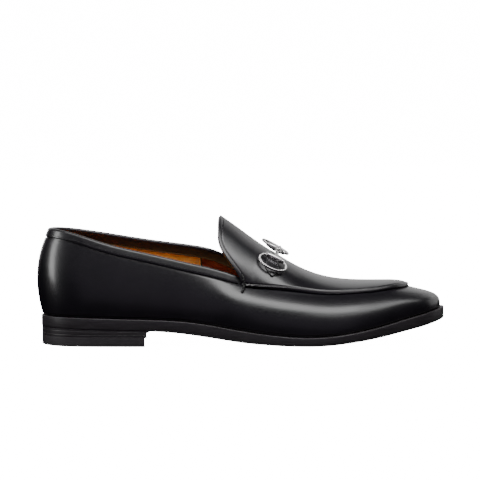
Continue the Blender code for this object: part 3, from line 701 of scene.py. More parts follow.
@dataclass(frozen=True)
class BoxCalf(Finish):
    """Black chrome-tanned box calf, glazed and polished with cream.

    The glaze gives it a hard clear gloss over near black, and its fine grain and the polisher's hand leave
    the reflections a little soft and uneven.
    """

    # Real pores are about 0.15 mm apart; they are drawn coarser, so that they don't fall between pixels.
    pore_size: float = 0.35 * MM
    grain_size: float = 0.9 * MM
    drift_size: float = 38 * MM
    worn: str = "#17141a"
    polished: float = 0.9
    dull: float = 1.12

    def dress(self, tree: bpy.types.NodeTree, shader: bpy.types.Node) -> None:
        """Adds pores, grain, soft unevenness of the skin and patches that the polish left duller.

        Args:
            tree: The material's node tree.
            shader: Its Principled shader.
        """
        where = coordinates(tree)
        pores = add_node(tree, "ShaderNodeTexVoronoi", {"Scale": 1 / self.pore_size}, {"Vector": where})
        skin = bump(tree, pores.outputs["Distance"], 0.035, 0.03 * MM)
        grain = bump(tree, noise(tree, where, self.grain_size, 4), 0.05, 0.05 * MM, skin)
        drift = noise(tree, where, self.drift_size, 3)
        gloss = ramp(tree, drift, self.roughness * self.polished, self.roughness * self.dull)
        wear = noise(tree, where, self.drift_size / 2, 5)
        base = tinted(tree, wear, ((0.3, self.colour), (0.75, self.worn)))
        joined(tree, shader, {"Normal": grain, "Roughness": gloss, "Base Color": base})


@dataclass(frozen=True)
class LiningLeather(Finish):
    """Vegetable-tanned lining leather, with an open, slightly waxy grain side.

    It shows a warm body colour that is darker in its pores and streaked along the skin.
    """

    light: str = "#d79440"
    dark: str = "#a2611f"
    streak_size: float = 5 * MM
    pore_size: float = 0.5 * MM

    def dress(self, tree: bpy.types.NodeTree, shader: bpy.types.Node) -> None:
        """Adds streaks along the foot, pores and a soft grain.

        Args:
            tree: The material's node tree.
            shader: Its Principled shader.
        """
        where = coordinates(tree)
        streaks = noise(tree, coordinates(tree, (0.35, 1, 1)), self.streak_size, 5)
        colour = tinted(tree, streaks, ((0.3, self.dark), (0.5, self.colour), (0.72, self.light)))
        pores = add_node(tree, "ShaderNodeTexVoronoi", {"Scale": 1 / self.pore_size}, {"Vector": where})
        relief = bump(tree, pores.outputs["Distance"], 0.25, 0.06 * MM)
        joined(tree, shader, {"Base Color": colour, "Normal": relief})


@dataclass(frozen=True)
class SoleLeather(Finish):
    """Oak-bark tanned sole leather, its edge inked black, ironed and waxed.

    Ironing leaves a satin edge with faint lines along it, and the fibre shows as a fine speckle.
    """

    line_size: float = 0.6 * MM
    wax_size: float = 18 * MM
    light: str = "#2c2a2c"
    waxed: float = 0.85
    dry: float = 1.2

    def dress(self, tree: bpy.types.NodeTree, shader: bpy.types.Node) -> None:
        """Adds the ironed lines, the fibre's speckle and uneven wax.

        Args:
            tree: The material's node tree.
            shader: Its Principled shader.
        """
        lines = noise(tree, coordinates(tree, (0.04, 0.04, 1)), self.line_size, 4)
        fibre = noise(tree, coordinates(tree), self.line_size / 2, 3)
        colour = tinted(tree, lines, ((0.35, self.colour), (0.8, self.light)))
        relief = bump(tree, fibre, 0.12, 0.05 * MM, bump(tree, lines, 0.25, 0.05 * MM))
        drift = noise(tree, coordinates(tree), self.wax_size, 3)
        wax = ramp(tree, drift, self.roughness * self.waxed, self.roughness * self.dry)
        joined(tree, shader, {"Base Color": colour, "Normal": relief, "Roughness": wax})


@dataclass(frozen=True)
class Rubber(Finish):
    """Moulded black heel rubber, trimmed on a scouring wheel.

    Scouring leaves it greyer and duller than the leather above it, with a fine even tooth.
    """

    tooth_size: float = 0.4 * MM
    mottle_size: float = 9 * MM
    light: str = "#413e41"

    def dress(self, tree: bpy.types.NodeTree, shader: bpy.types.Node) -> None:
        """Adds the scoured tooth and a little mottling.

        Args:
            tree: The material's node tree.
            shader: Its Principled shader.
        """
        tooth = noise(tree, coordinates(tree, (0.2, 0.2, 1)), self.tooth_size, 3)
        relief = bump(tree, tooth, 0.3, 0.05 * MM)
        mottle = noise(tree, coordinates(tree), self.mottle_size, 4)
        colour = tinted(tree, mottle, ((0.3, self.colour), (0.8, self.light)))
        joined(tree, shader, {"Normal": relief, "Base Color": colour})


@dataclass(frozen=True)
class Thread(Finish):
    """Waxed black polyester thread, twisted from plies.

    Its ply catches the light in short diagonal ticks.
    """

    ply_size: float = 0.35 * MM

    def dress(self, tree: bpy.types.NodeTree, shader: bpy.types.Node) -> None:
        """Adds the diagonal ply.

        Args:
            tree: The material's node tree.
            shader: Its Principled shader.
        """
        where = coordinates(tree, (1, 0.6, 1.4))
        waves_per_unit = 6
        scale = 1 / self.ply_size / waves_per_unit
        settings = {"Scale": scale, "Distortion": 1.0, "bands_direction": "DIAGONAL"}
        ply = add_node(tree, "ShaderNodeTexWave", settings, {"Vector": where}).outputs["Fac"]
        joined(tree, shader, {"Normal": bump(tree, ply, 0.5, 0.08 * MM)})


@dataclass(frozen=True)
class PolishedSteel(Finish):
    """Cast bit metal, nickel plated and buffed.

    It mirrors the room, softened by fine buffing marks, and is a little duller where the wheel didn't reach.
    """

    buff_size: float = 0.5 * MM
    patch_size: float = 3 * MM
    buffed: float = 0.8
    missed: float = 1.5

    def dress(self, tree: bpy.types.NodeTree, shader: bpy.types.Node) -> None:
        """Adds buffing marks and dull patches.

        Args:
            tree: The material's node tree.
            shader: Its Principled shader.
        """
        marks = noise(tree, coordinates(tree, (0.4, 1, 1)), self.buff_size, 4)
        relief = bump(tree, marks, 0.06, 0.03 * MM)
        patches = noise(tree, coordinates(tree), self.patch_size, 3)
        gloss = ramp(tree, patches, self.roughness * self.buffed, self.roughness * self.missed)
        joined(tree, shader, {"Normal": relief, "Roughness": gloss})


CALF = BoxCalf("black_box_calf", "#110f14", 0.33, coat=0.45, coat_roughness=0.2)
TAN_LINING = LiningLeather("tan_lining_calf", "#ecae5e", 0.5, ior=1.45, light="#f6c27a", dark="#da9344")
TONGUE_LINING = LiningLeather("black_lining_calf", "#141113", 0.5, ior=1.45, light="#1d191c", dark="#0c0a0b")
# The vamp and toe linings are the same tan leather as the quarter lining; their dark red-brown colour is
# painted shade from the tongue and apron over them.
SHADE_PAINTED_LINING = LiningLeather("tan_lining_painted_shade", "#7a2c1a", 0.48, ior=1.45, light="#8e3a24", dark="#5c1e12")
SOLE_EDGE = SoleLeather("inked_sole_leather", "#232023", 0.42, ior=1.48, light="#353236")
TOP_RUBBER = Rubber("scoured_rubber", "#343134", 0.5, ior=1.5)
THREAD = Thread("waxed_thread", "#221f24", 0.36, ior=1.5)
CORD = Thread("waxed_tack_cord", "#0e0c0f", 0.5, ior=1.5)
# The tab's stitches are coloured light grey as a painted highlight: the grey stands in for the glints that
# the dark thread catches inside the ring.
TAB_THREAD_PAINTED_GLINT = Thread("tab_thread_painted_glint", "#8d8b8f", 0.4, ior=1.5)
STEEL = PolishedSteel("nickel_plate", "#d0cece", 0.2, metallic=1.0)


class MeshMaker:
    """Collects grids of points as faces, and turns them into one piece that rides on the shoe's body."""

    def __init__(self) -> None:
        """Starts with no points."""
        self.points: list[np.ndarray] = []
        self.faces: list[np.ndarray] = []
        self.count = 0

    def grid(
        self, points: np.ndarray, closed: bool = False, looped: bool = False, flip: bool = False
    ) -> None:
        """Adds a grid of points as faces.

        Args:
            points: Points by row and column.
            closed: Whether the last row joins the first.
            looped: Whether the last column joins the first.
            flip: Whether the faces look the other way.
        """
        rows, columns = points.shape[:2]
        numbers = np.arange(rows * columns).reshape(rows, columns) + self.count
        if closed:
            numbers = np.concatenate([numbers, numbers[:1]])
        if looped:
            numbers = np.concatenate([numbers, numbers[:, :1]], axis=1)
        corners = numbers[:-1, :-1], numbers[1:, :-1], numbers[1:, 1:], numbers[:-1, 1:]
        faces = np.stack([corner.ravel() for corner in corners], axis=1)
        self.faces.append(faces[:, ::-1] if flip else faces)
        self.points.append(points.reshape(-1, 3))
        self.count += rows * columns

    def sheet(self, outer: np.ndarray, inner: np.ndarray, closed: bool = False) -> None:
        """Adds a closed sheet.

        Args:
            outer: Points of its outer face.
            inner: Points of its inner face, as many.
            closed: Whether the last row joins the first.
        """
        self.grid(outer, closed)
        self.grid(inner, closed, flip=True)
        self.grid(np.stack([inner[:, 0], outer[:, 0]], axis=1), closed)
        self.grid(np.stack([outer[:, -1], inner[:, -1]], axis=1), closed)
        if not closed:
            self.grid(np.stack([outer[0], inner[0]], axis=1))
            self.grid(np.stack([inner[-1], outer[-1]], axis=1))

    def slab(self, top: np.ndarray, bottom: np.ndarray, sides: Sequence[np.ndarray] = ()) -> None:
        """Adds a closed slab.

        Args:
            top: Points of its upper face.
            bottom: Points of its lower face, as many.
            sides: Rings of points round its side, from the top to the bottom.
        """
        self.grid(top)
        self.grid(bottom, flip=True)
        self.grid(np.stack([rim(top), *sides, rim(bottom)], axis=1), closed=True)

    def tube(self, path: np.ndarray, radii: np.ndarray, sides: int, closed: bool = False) -> None:
        """Adds a round tube, with flat ends where it isn't closed.

        Args:
            path: Points along its middle.
            radii: Its radius at each point, or at each point and side.
            sides: Count of points round it.
            closed: Whether it joins up.
        """
        path = np.asarray(path, float)
        if closed:
            along = np.roll(path, -1, axis=0) - np.roll(path, 1, axis=0)
        else:
            along = np.gradient(path, axis=0)
        along /= np.linalg.norm(along, axis=1)[:, None]
        side = np.array(Vector(along[0]).orthogonal().normalized())
        radii = np.broadcast_to(np.reshape(radii, (len(path), -1)), (len(path), sides))
        turns = np.arange(sides) * 2 * pi / sides
        rings = []
        for point, direction, radius in zip(path, along, radii):
            side = side - direction * side.dot(direction)
            side /= np.linalg.norm(side)
            over = np.cross(direction, side)
            spokes = np.cos(turns)[:, None] * side + np.sin(turns)[:, None] * over
            rings.append(point + spokes * radius[:, None])
        rings = np.array(rings)
        self.grid(rings, closed=closed, looped=True)
        if not closed:
            for ring, flip in ((rings[0], True), (rings[-1], False)):
                centre = np.broadcast_to(ring.mean(axis=0), ring.shape)
                self.grid(np.stack([ring, centre], axis=0), looped=True, flip=not flip)

    def piece(self, name: str, finish: Finish, stands_for: str | None = None) -> bpy.types.Object:
        """Makes the piece.

        Args:
            name: The piece's name.
            finish: Its finish.
            stands_for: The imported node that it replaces, if there is one.

        Returns:
            The object, riding on the body.
        """
        mesh = bpy.data.meshes.new(name)
        points = np.concatenate(self.points) + SHIFT
        mesh.from_pydata(points.tolist(), [], np.concatenate(self.faces).tolist())
        bm = bmesh.new()
        bm.from_mesh(mesh)
        bmesh.ops.remove_doubles(bm, verts=bm.verts, dist=WELD_DISTANCE)
        bmesh.ops.dissolve_degenerate(bm, edges=bm.edges, dist=WELD_DISTANCE)
        bmesh.ops.recalc_face_normals(bm, faces=bm.faces)
        bm.to_mesh(mesh)
        bm.free()
        mesh.shade_smooth()
        mesh.set_sharp_from_angle(angle=radians(SHARP_ANGLE))
        mesh.materials.append(finish.material())
        made = bpy.data.objects.new(name, mesh)
        bpy.context.scene.collection.objects.link(made)
        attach(made, BODY)
        if stands_for:
            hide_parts(stands_for)
        LOG.info("%s: %d faces", name, len(mesh.polygons))
        return made


def rim(grid: np.ndarray) -> np.ndarray:
    """Ring of points round the edge of a grid."""
    ends = grid[1:, -1], grid[-1, -2::-1], grid[-2::-1, 0]
    return np.concatenate([grid[0], *ends])[:-1]


def pairs(ring: np.ndarray) -> tuple[np.ndarray, np.ndarray]:
    """The outer side's points of a ring and the inner side's points across from them, heel to toe."""
    half = len(ring) // 2
    return ring[: half + 1], np.array([ring[-k % len(ring)] for k in range(half + 1)])


def bridged(outer: np.ndarray, inner: np.ndarray, steps: int) -> np.ndarray:
    """Grid of points straight across between two lines of points."""
    shares = np.linspace(0, 1, steps + 1)[None, :, None]
    return outer[:, None] * (1 - shares) + inner[:, None] * shares


def walked_along(line: np.ndarray) -> np.ndarray:
    """Distance of each point of a line from its start, along it."""
    return np.concatenate([[0], np.cumsum(np.linalg.norm(np.diff(line, axis=0), axis=1))])


def read_off(at: np.ndarray, knots: np.ndarray, values: np.ndarray) -> np.ndarray:
    """Rows read between the rows of values, which stand at the knots."""
    return np.stack([np.interp(at, knots, values[:, k]) for k in range(3)], axis=-1)


def stitches(
    maker: MeshMaker, line: np.ndarray, normals: np.ndarray, pitch: float, length: float, thread: float
) -> None:
    """Adds a row of stitches.

    Args:
        maker: Where the stitches go.
        line: Closely set points of the row, on the leather.
        normals: The leather's normal at each point.
        pitch: Distance from one stitch to the next.
        length: Length of a stitch that shows.
        thread: The thread's diameter.
    """
    walked = walked_along(line)
    sides = 6
    heights = np.array([-0.75, -0.05, 0.18, 0.24, 0.18, -0.05, -0.75]) * thread
    shares = np.linspace(-1, 1, len(heights))
    for start in np.arange(pitch / 2, walked[-1] - pitch / 2, pitch):
        at = start + shares * length / 2
        ups = read_off(at, walked, normals)
        ups /= np.linalg.norm(ups, axis=1)[:, None]
        maker.tube(read_off(at, walked, line) + ups * heights[:, None], np.full(len(at), thread / 2), sides)


@dataclass
class Sole:
    """Leather outsole with its welt edge, the stacked heel and its rubber top piece."""

    edge_round: float = 0.0007
    round_steps: int = 5
    heel_top: float = 0.0074
    heel_inset: float = 0.0003
    breast_at: float = 0.0763
    breast_flare: float = 0.0043
    breast_hollow: float = 0.0058
    breast_rows: int = 61
    hollow_power: int = 3
    lift_line: float = 0.00016
    lift_line_width: float = 0.08
    lift_rings: int = 51
    lifts: int = 2
    trim: float = 0.00003
    ribs_round: int = 720
    across: int = 24

    def __post_init__(self) -> None:
        """Works out the ribs of the ring."""
        self.ribs = LAST.ribs(ring_rows(self.ribs_round))

    def outline(self, shrink: float) -> np.ndarray:
        """Ring of the sole's outline, drawn in by shrink."""
        return LAST.inside(self.ribs, shrink + self.trim - self.ribs.welt)

    def underside(self, grid: np.ndarray) -> np.ndarray:
        """Drops a grid of points onto the outsole's underside.

        Args:
            grid: Points by row and column, with the columns from edge to edge.

        Returns:
            The dropped points.
        """
        x, y = grid[:, :, 0], grid[:, :, 1]
        outer, inner = grid[:, :1, 1], grid[:, -1:, 1]
        half = np.maximum((inner - outer) / 2, 1e-6)
        level = 1 - np.clip(((y - (outer + inner) / 2) / half) ** 2, 0, 1)
        edge, belly = (column.reshape(x.shape) for column in BED_SPLINE.at(x / LAST.length)[:, 3:].T)
        drop = edge * (LAST.sole_edge - LAST.gap) + belly * (LAST.sole_camber + LAST.ball_flat) * level
        dropped = grid.copy()
        dropped[:, :, 2] = np.maximum(LAST.feather(x, y) - LAST.gap - drop, 0)
        return dropped

    def grid(self, shrink: float) -> np.ndarray:
        """Grid of points across the whole sole."""
        return bridged(*pairs(self.outline(shrink)), self.across)

    def outsole(self) -> None:
        """Makes the outsole, its edge rounded above and below."""
        maker = MeshMaker()
        top = self.grid(self.edge_round)
        top[:, :, 2] -= LAST.gap
        bottom = self.underside(self.grid(self.edge_round))
        rings = []
        for turn in np.linspace(0, pi / 2, self.round_steps)[1:]:
            ring = self.grid(self.edge_round * (1 - sin(turn)))
            ring[:, :, 2] -= LAST.gap + self.edge_round * (1 - cos(turn))
            rings.append(rim(ring))
        for turn in np.linspace(pi / 2, 0, self.round_steps)[:-1]:
            ring = self.underside(self.grid(self.edge_round * (1 - sin(turn))))
            ring[:, :, 2] += self.edge_round * (1 - cos(turn))
            rings.append(rim(ring))
        maker.slab(top, bottom, rings)
        maker.piece("outsole_leather", SOLE_EDGE, "outsole")

    def heel_grid(self, shrink: float, flare: float = 0) -> np.ndarray:
        """Grid over the heel's plan at the sole's underside, up to the hollow breast.

        Args:
            shrink: How far its outline is drawn in from the sole's.
            flare: How far ahead the breast is moved.

        Returns:
            Points by row, from the back to the breast, and by column across.
        """
        outer, inner = pairs(self.outline(shrink))
        numbers = np.arange(len(outer))
        share = np.linspace(0, 1, self.breast_rows)[:, None]
        lines = []
        for line in (outer, inner):
            at = (share * np.interp(self.breast_at + flare, line[:, 0], numbers)).ravel()
            lines.append(np.stack([np.interp(at, numbers, line[:, k]) for k in range(3)], axis=1))
        grid = bridged(*lines, self.across)
        spread = np.linspace(-1, 1, self.across + 1)
        ahead = np.linspace(0, 1, self.breast_rows) ** self.hollow_power
        grid[:, :, 0] -= self.breast_hollow * ahead[:, None] * (1 - spread**2)[None]
        return self.underside(grid)

    def heel(self) -> None:
        """Makes the stacked block, with a line at each lift, and the rubber top piece."""
        floor = self.heel_top + LAST.gap
        seat, bottom = self.heel_grid(self.heel_inset, self.breast_flare), self.heel_grid(self.heel_inset)
        seat[:, :, 2] -= LAST.gap / 6
        bottom[:, :, 2] = floor
        maker = MeshMaker()
        rings = []
        for share in np.linspace(0, 1, self.lift_rings)[1:-1]:
            line = self.lift_line * bump_at(np.array(share * self.lifts % 1), 0.5, self.lift_line_width)
            ring = rim(self.heel_grid(self.heel_inset + float(line), self.breast_flare * (1 - share) ** 2))
            ring[:, 2] += (floor - ring[:, 2]) * share
            rings.append(ring)
        maker.slab(seat, bottom, rings)
        maker.piece("heel_lifts", SOLE_EDGE, "heel_block")
        maker = MeshMaker()
        top, under = bottom.copy(), self.heel_grid(self.heel_inset + self.edge_round)
        top[:, :, 2] = self.heel_top
        under[:, :, 2] = 0
        rings = []
        for turn in np.linspace(pi / 2, 0, self.round_steps)[:-1]:
            ring = self.heel_grid(self.heel_inset + self.edge_round * (1 - sin(turn)))
            ring[:, :, 2] = self.edge_round * (1 - cos(turn))
            rings.append(rim(ring))
        maker.slab(top, under, rings)
        maker.piece("heel_rubber", TOP_RUBBER, "heel_top_piece")

    def build(self) -> None:
        """Makes every piece of the sole."""
        self.outsole()
        self.heel()


@dataclass
class Upper:
    """Quarters and vamp as one lasted skin, with its linings, the sock and the topline binding."""

    calf: float = 0.0012
    lining: float = 0.0006
    margin: float = 0.0080
    feather_round: float = 0.0016
    foot_rounding: int = 7
    foot_share: float = 0.01
    tuck_turn: float = 0.5
    tuck_drop: float = 0.0001
    lining_gap: float = 0.00005
    roof_gap: float = 0.0006
    roof_arches: int = 90
    roof_steps: int = 60
    stub: float = 0.0072
    recess: float = 0.0009
    seam_groove: float = 0.00006
    seam_groove_width: float = 0.0003
    trim: float = 0.00004
    binding_proud: float = 0.0002
    binding_facing: float = 0.0088
    binding_stitch_at: float = 0.0027
    binding_edge: float = 0.0012
    binding_fold: float = 0.0017
    stitch_pitch: float = 0.0024
    stitch_length: float = 0.0017
    thread: float = 0.00045
    lining_joint: float = 0.1212
    ribs_round: int = 640
    wall_steps: int = 56
    insole_thickness: float = 0.0030
    insole_ease: float = 0.0009
    sock_ribs: int = 480
    sock_columns: int = 20
    sock_edge: float = 0.0004
    sock_crown: float = 0.0002

    def __post_init__(self) -> None:
        """Works out the ribs of the ring and of the collar."""
        self.ribs = LAST.ribs(ring_rows(self.ribs_round))
        self.collar_ribs = LAST.ribs(np.linspace(-COLLAR_END_ROW, COLLAR_END_ROW, 421))

    def walls(self) -> np.ndarray:
        """Outer skin, from the lasting margin under the insole up to the seam.

        Returns:
            Points by rib and by height.
        """
        foot = self.ribs.wall(0)
        first = self.ribs.wall(self.foot_share) - foot
        first /= np.linalg.norm(first, axis=1)[:, None]
        under = LAST.inside(self.ribs, self.feather_round)
        above = foot + first * self.feather_round
        rows = [LAST.inside(self.ribs, self.margin), LAST.inside(self.ribs, self.margin / 2)]
        for share in np.linspace(0, 1, self.foot_rounding):
            rows.append((1 - share) ** 2 * under + 2 * share * (1 - share) * foot + share**2 * above)
        chord = np.linalg.norm(self.ribs.top - self.ribs.foot, axis=1).mean()
        start = self.feather_round / chord
        for share in np.linspace(start, 1, self.wall_steps)[1:]:
            rows.append(self.ribs.wall(share))
        grid = np.stack(rows, axis=1)
        normals = normals_of(grid, closed=True)
        from_top = np.linalg.norm(grid - grid[:, -1:], axis=2)
        groove = -self.trim - self.seam_groove * np.exp(-((from_top / self.seam_groove_width) ** 2))
        return grid + normals * groove[:, :, None]

    def flange(self) -> np.ndarray:
        """Skin that runs on from the seam: up under the binding behind, and in under the apron in front.

        Returns:
            Points by rib and by distance from the seam.
        """
        rows = self.ribs.rows
        outer = rows <= TOE_ROW
        near = np.where(outer, rows, RING_ROWS - rows)
        levels = np.array([0.02, 0.3, 0.65, 1])
        behind = [LAST.collar(self.ribs, self.stub * level, -self.recess) for level in levels]
        turns = -pi / 2 + self.tuck_turn * levels
        arches = LAST.arches(near, LAST.middle(near), np.concatenate([turns, -turns[::-1]]))
        arches[:, :, 2] -= self.tuck_drop
        ahead = [np.where(outer[:, None], arches[:, k], arches[:, -1 - k]) for k in range(len(levels))]
        blend = np.clip((near - COLLAR_END_ROW) / (THROAT_ROW - COLLAR_END_ROW), 0, 1)[:, None]
        return np.stack([back * (1 - blend) + front * blend for back, front in zip(behind, ahead)], axis=1)

    def skin(self) -> None:
        """Makes the quarters and vamp."""
        walls = self.walls()
        grid = np.concatenate([walls, self.flange()], axis=1)
        inner = grid - normals_of(grid, closed=True) * self.calf
        maker = MeshMaker()
        maker.sheet(grid, inner, closed=True)
        maker.piece("quarters_and_vamp", CALF, "upper")

    def linings(self) -> None:
        """Makes the tan quarter lining, and the vamp lining painted dark red-brown as painted shade that the
        tongue casts on the tan lining.
        """
        walls = self.walls()[:, 2 + self.foot_rounding :]
        levels = (0.3, 0.6, 0.9)
        stub = np.stack([LAST.collar(self.ribs, self.stub * level, -self.recess) for level in levels], axis=1)
        normals = normals_of(walls, closed=True)
        collar_normals = np.repeat(LAST.collar_face(self.ribs)[:, None], stub.shape[1], axis=1)
        behind = self.ribs.foot[:, 0] < self.lining_joint
        past_toe = self.ribs.rows > TOE_ROW
        order = np.concatenate([np.nonzero(past_toe)[0], np.nonzero(~past_toe)[0]])
        quarter = order[behind[order]]
        vamp = np.nonzero(~behind)[0]
        # The vamp lining's dark red-brown finish is painted shade of the tongue on the tan lining.
        for name, chosen, finish in (
            ("quarter_lining", quarter, TAN_LINING), ("vamp_lining", vamp, SHADE_PAINTED_LINING),
        ):
            grid, out = walls[chosen], normals[chosen]
            rows = self.ribs.rows[chosen]
            near = np.minimum(rows, RING_ROWS - rows)
            under_collar = (near <= COLLAR_END_ROW + 0.4)[:, None, None]
            rise = np.where(under_collar, stub[chosen], grid[:, -1:])
            grid = np.concatenate([grid, rise], axis=1)
            out = np.concatenate([out, collar_normals[chosen]], axis=1)
            maker = MeshMaker()
            maker.sheet(grid - out * (self.calf + self.lining_gap), grid - out * (self.calf + self.lining))
            maker.piece(name, finish)

    def roof_lining(self) -> None:
        """Makes the lining over the toes, under the apron, painted dark red-brown as painted shade like the
        vamp lining.
        """
        rows = THROAT_ROW + (TOE_ROW - THROAT_ROW) * np.linspace(0, 1, self.roof_arches)
        grid = LAST.arches(rows, LAST.middle(rows), np.linspace(-pi / 2, pi / 2, self.roof_steps + 1))
        normals = normals_of(grid)
        maker = MeshMaker()
        maker.sheet(lifted(grid, -self.roof_gap, normals), lifted(grid, -LAST.wall, normals))
        # Dark red-brown painted shade, as on the vamp lining.
        maker.piece("toe_roof_lining", SHADE_PAINTED_LINING)

    def sock(self) -> None:
        """Makes the sock leather over the insole."""
        ribs = LAST.ribs(ring_rows(self.sock_ribs))
        grid = bridged(*pairs(LAST.inside(ribs, LAST.wall + self.insole_ease)), self.sock_columns)
        x, y = grid[:, :, 0], grid[:, :, 1]
        step = LAST.length / 1000
        slope = (LAST.feather(x + step, y) - LAST.feather(x - step, y)) / (2 * step)
        bottom, top = grid.copy(), grid.copy()
        bottom[:, :, 2] = LAST.feather(x, y) + (LAST.wall + LAST.gap) * np.sqrt(1 + slope**2)
        top[:, :, 2] = bottom[:, :, 2] + self.insole_thickness
        edge = rim(top)
        edge[:, 2] -= self.sock_edge
        maker = MeshMaker()
        crowned = top.copy()
        crowned[1:-1, 1:-1, 2] += self.sock_crown
        maker.slab(crowned, bottom, [edge])
        maker.piece("sock_leather", TAN_LINING, "insole")

    def collar_line(self, height: float, proud: float) -> np.ndarray:
        """Line along the collar, with its two front ends slanted back.

        Args:
            height: Its height over the seam.
            proud: How far it stands out of the wall's face.

        Returns:
            The points of the line.
        """
        line = LAST.collar(self.collar_ribs, height, proud)
        slanted_rows = 0.5
        near = np.clip(1 - (COLLAR_END_ROW - np.abs(self.collar_ribs.rows)) / slanted_rows, 0, 1)
        line[:, 0] -= LAST.end_slant * max(height, 0) / LAST.band_width * near
        return line

    def binding(self) -> None:
        """Makes the strip folded over the collar's edge, with its stitches."""
        low, high, proud = self.binding_edge, LAST.band_width, self.binding_proud
        outside = [(low, -0.0006), (low, proud - 0.0004)]
        outside += [(low + 0.0002, proud - 0.0001), (low + 0.0005, proud)]
        outside += [(height, proud + 0.0001) for height in np.linspace(0.0025, high - 0.0020, 5)]
        centre, reach = (proud - self.recess - 0.0018 - 0.0004) / 2, self.binding_fold
        over = []
        for turn in np.linspace(0.15, pi, 11):
            over.append((high - 0.0016 + 0.0016 * sin(turn), centre + reach * cos(turn)))
        inner, end = centre - reach, high - self.binding_facing
        down = [(height, inner) for height in np.linspace(high - 0.0026, end, 5)]
        foot = [(end - 0.0002, inner + 0.0002), (end, inner + 0.0005)]
        back = [(high - 0.0024, inner + 0.0005), (high - 0.0012, centre), (high - 0.0024, -0.0006)]
        section = outside + over + down + foot + back
        loop = np.stack([self.collar_line(*point) for point in section], axis=1)
        maker = MeshMaker()
        maker.grid(loop, looped=True)
        for end in (0, -1):
            centre_points = np.broadcast_to(loop[end].mean(axis=0), loop[end].shape)
            maker.grid(np.stack([loop[end], centre_points], axis=0), looped=True)
        maker.piece("topline_binding", CALF, "topline_band")
        row = self.collar_line(self.binding_stitch_at, proud + 0.0001)
        kept = slice(4, -4)
        face = LAST.collar_face(self.collar_ribs)
        maker = MeshMaker()
        stitches(maker, row[kept], face[kept], self.stitch_pitch, self.stitch_length, self.thread)
        maker.piece("binding_stitches", THREAD)

    def build(self) -> None:
        """Makes every piece of the upper."""
        self.skin()
        self.linings()
        self.roof_lining()
        self.sock()
        self.binding()


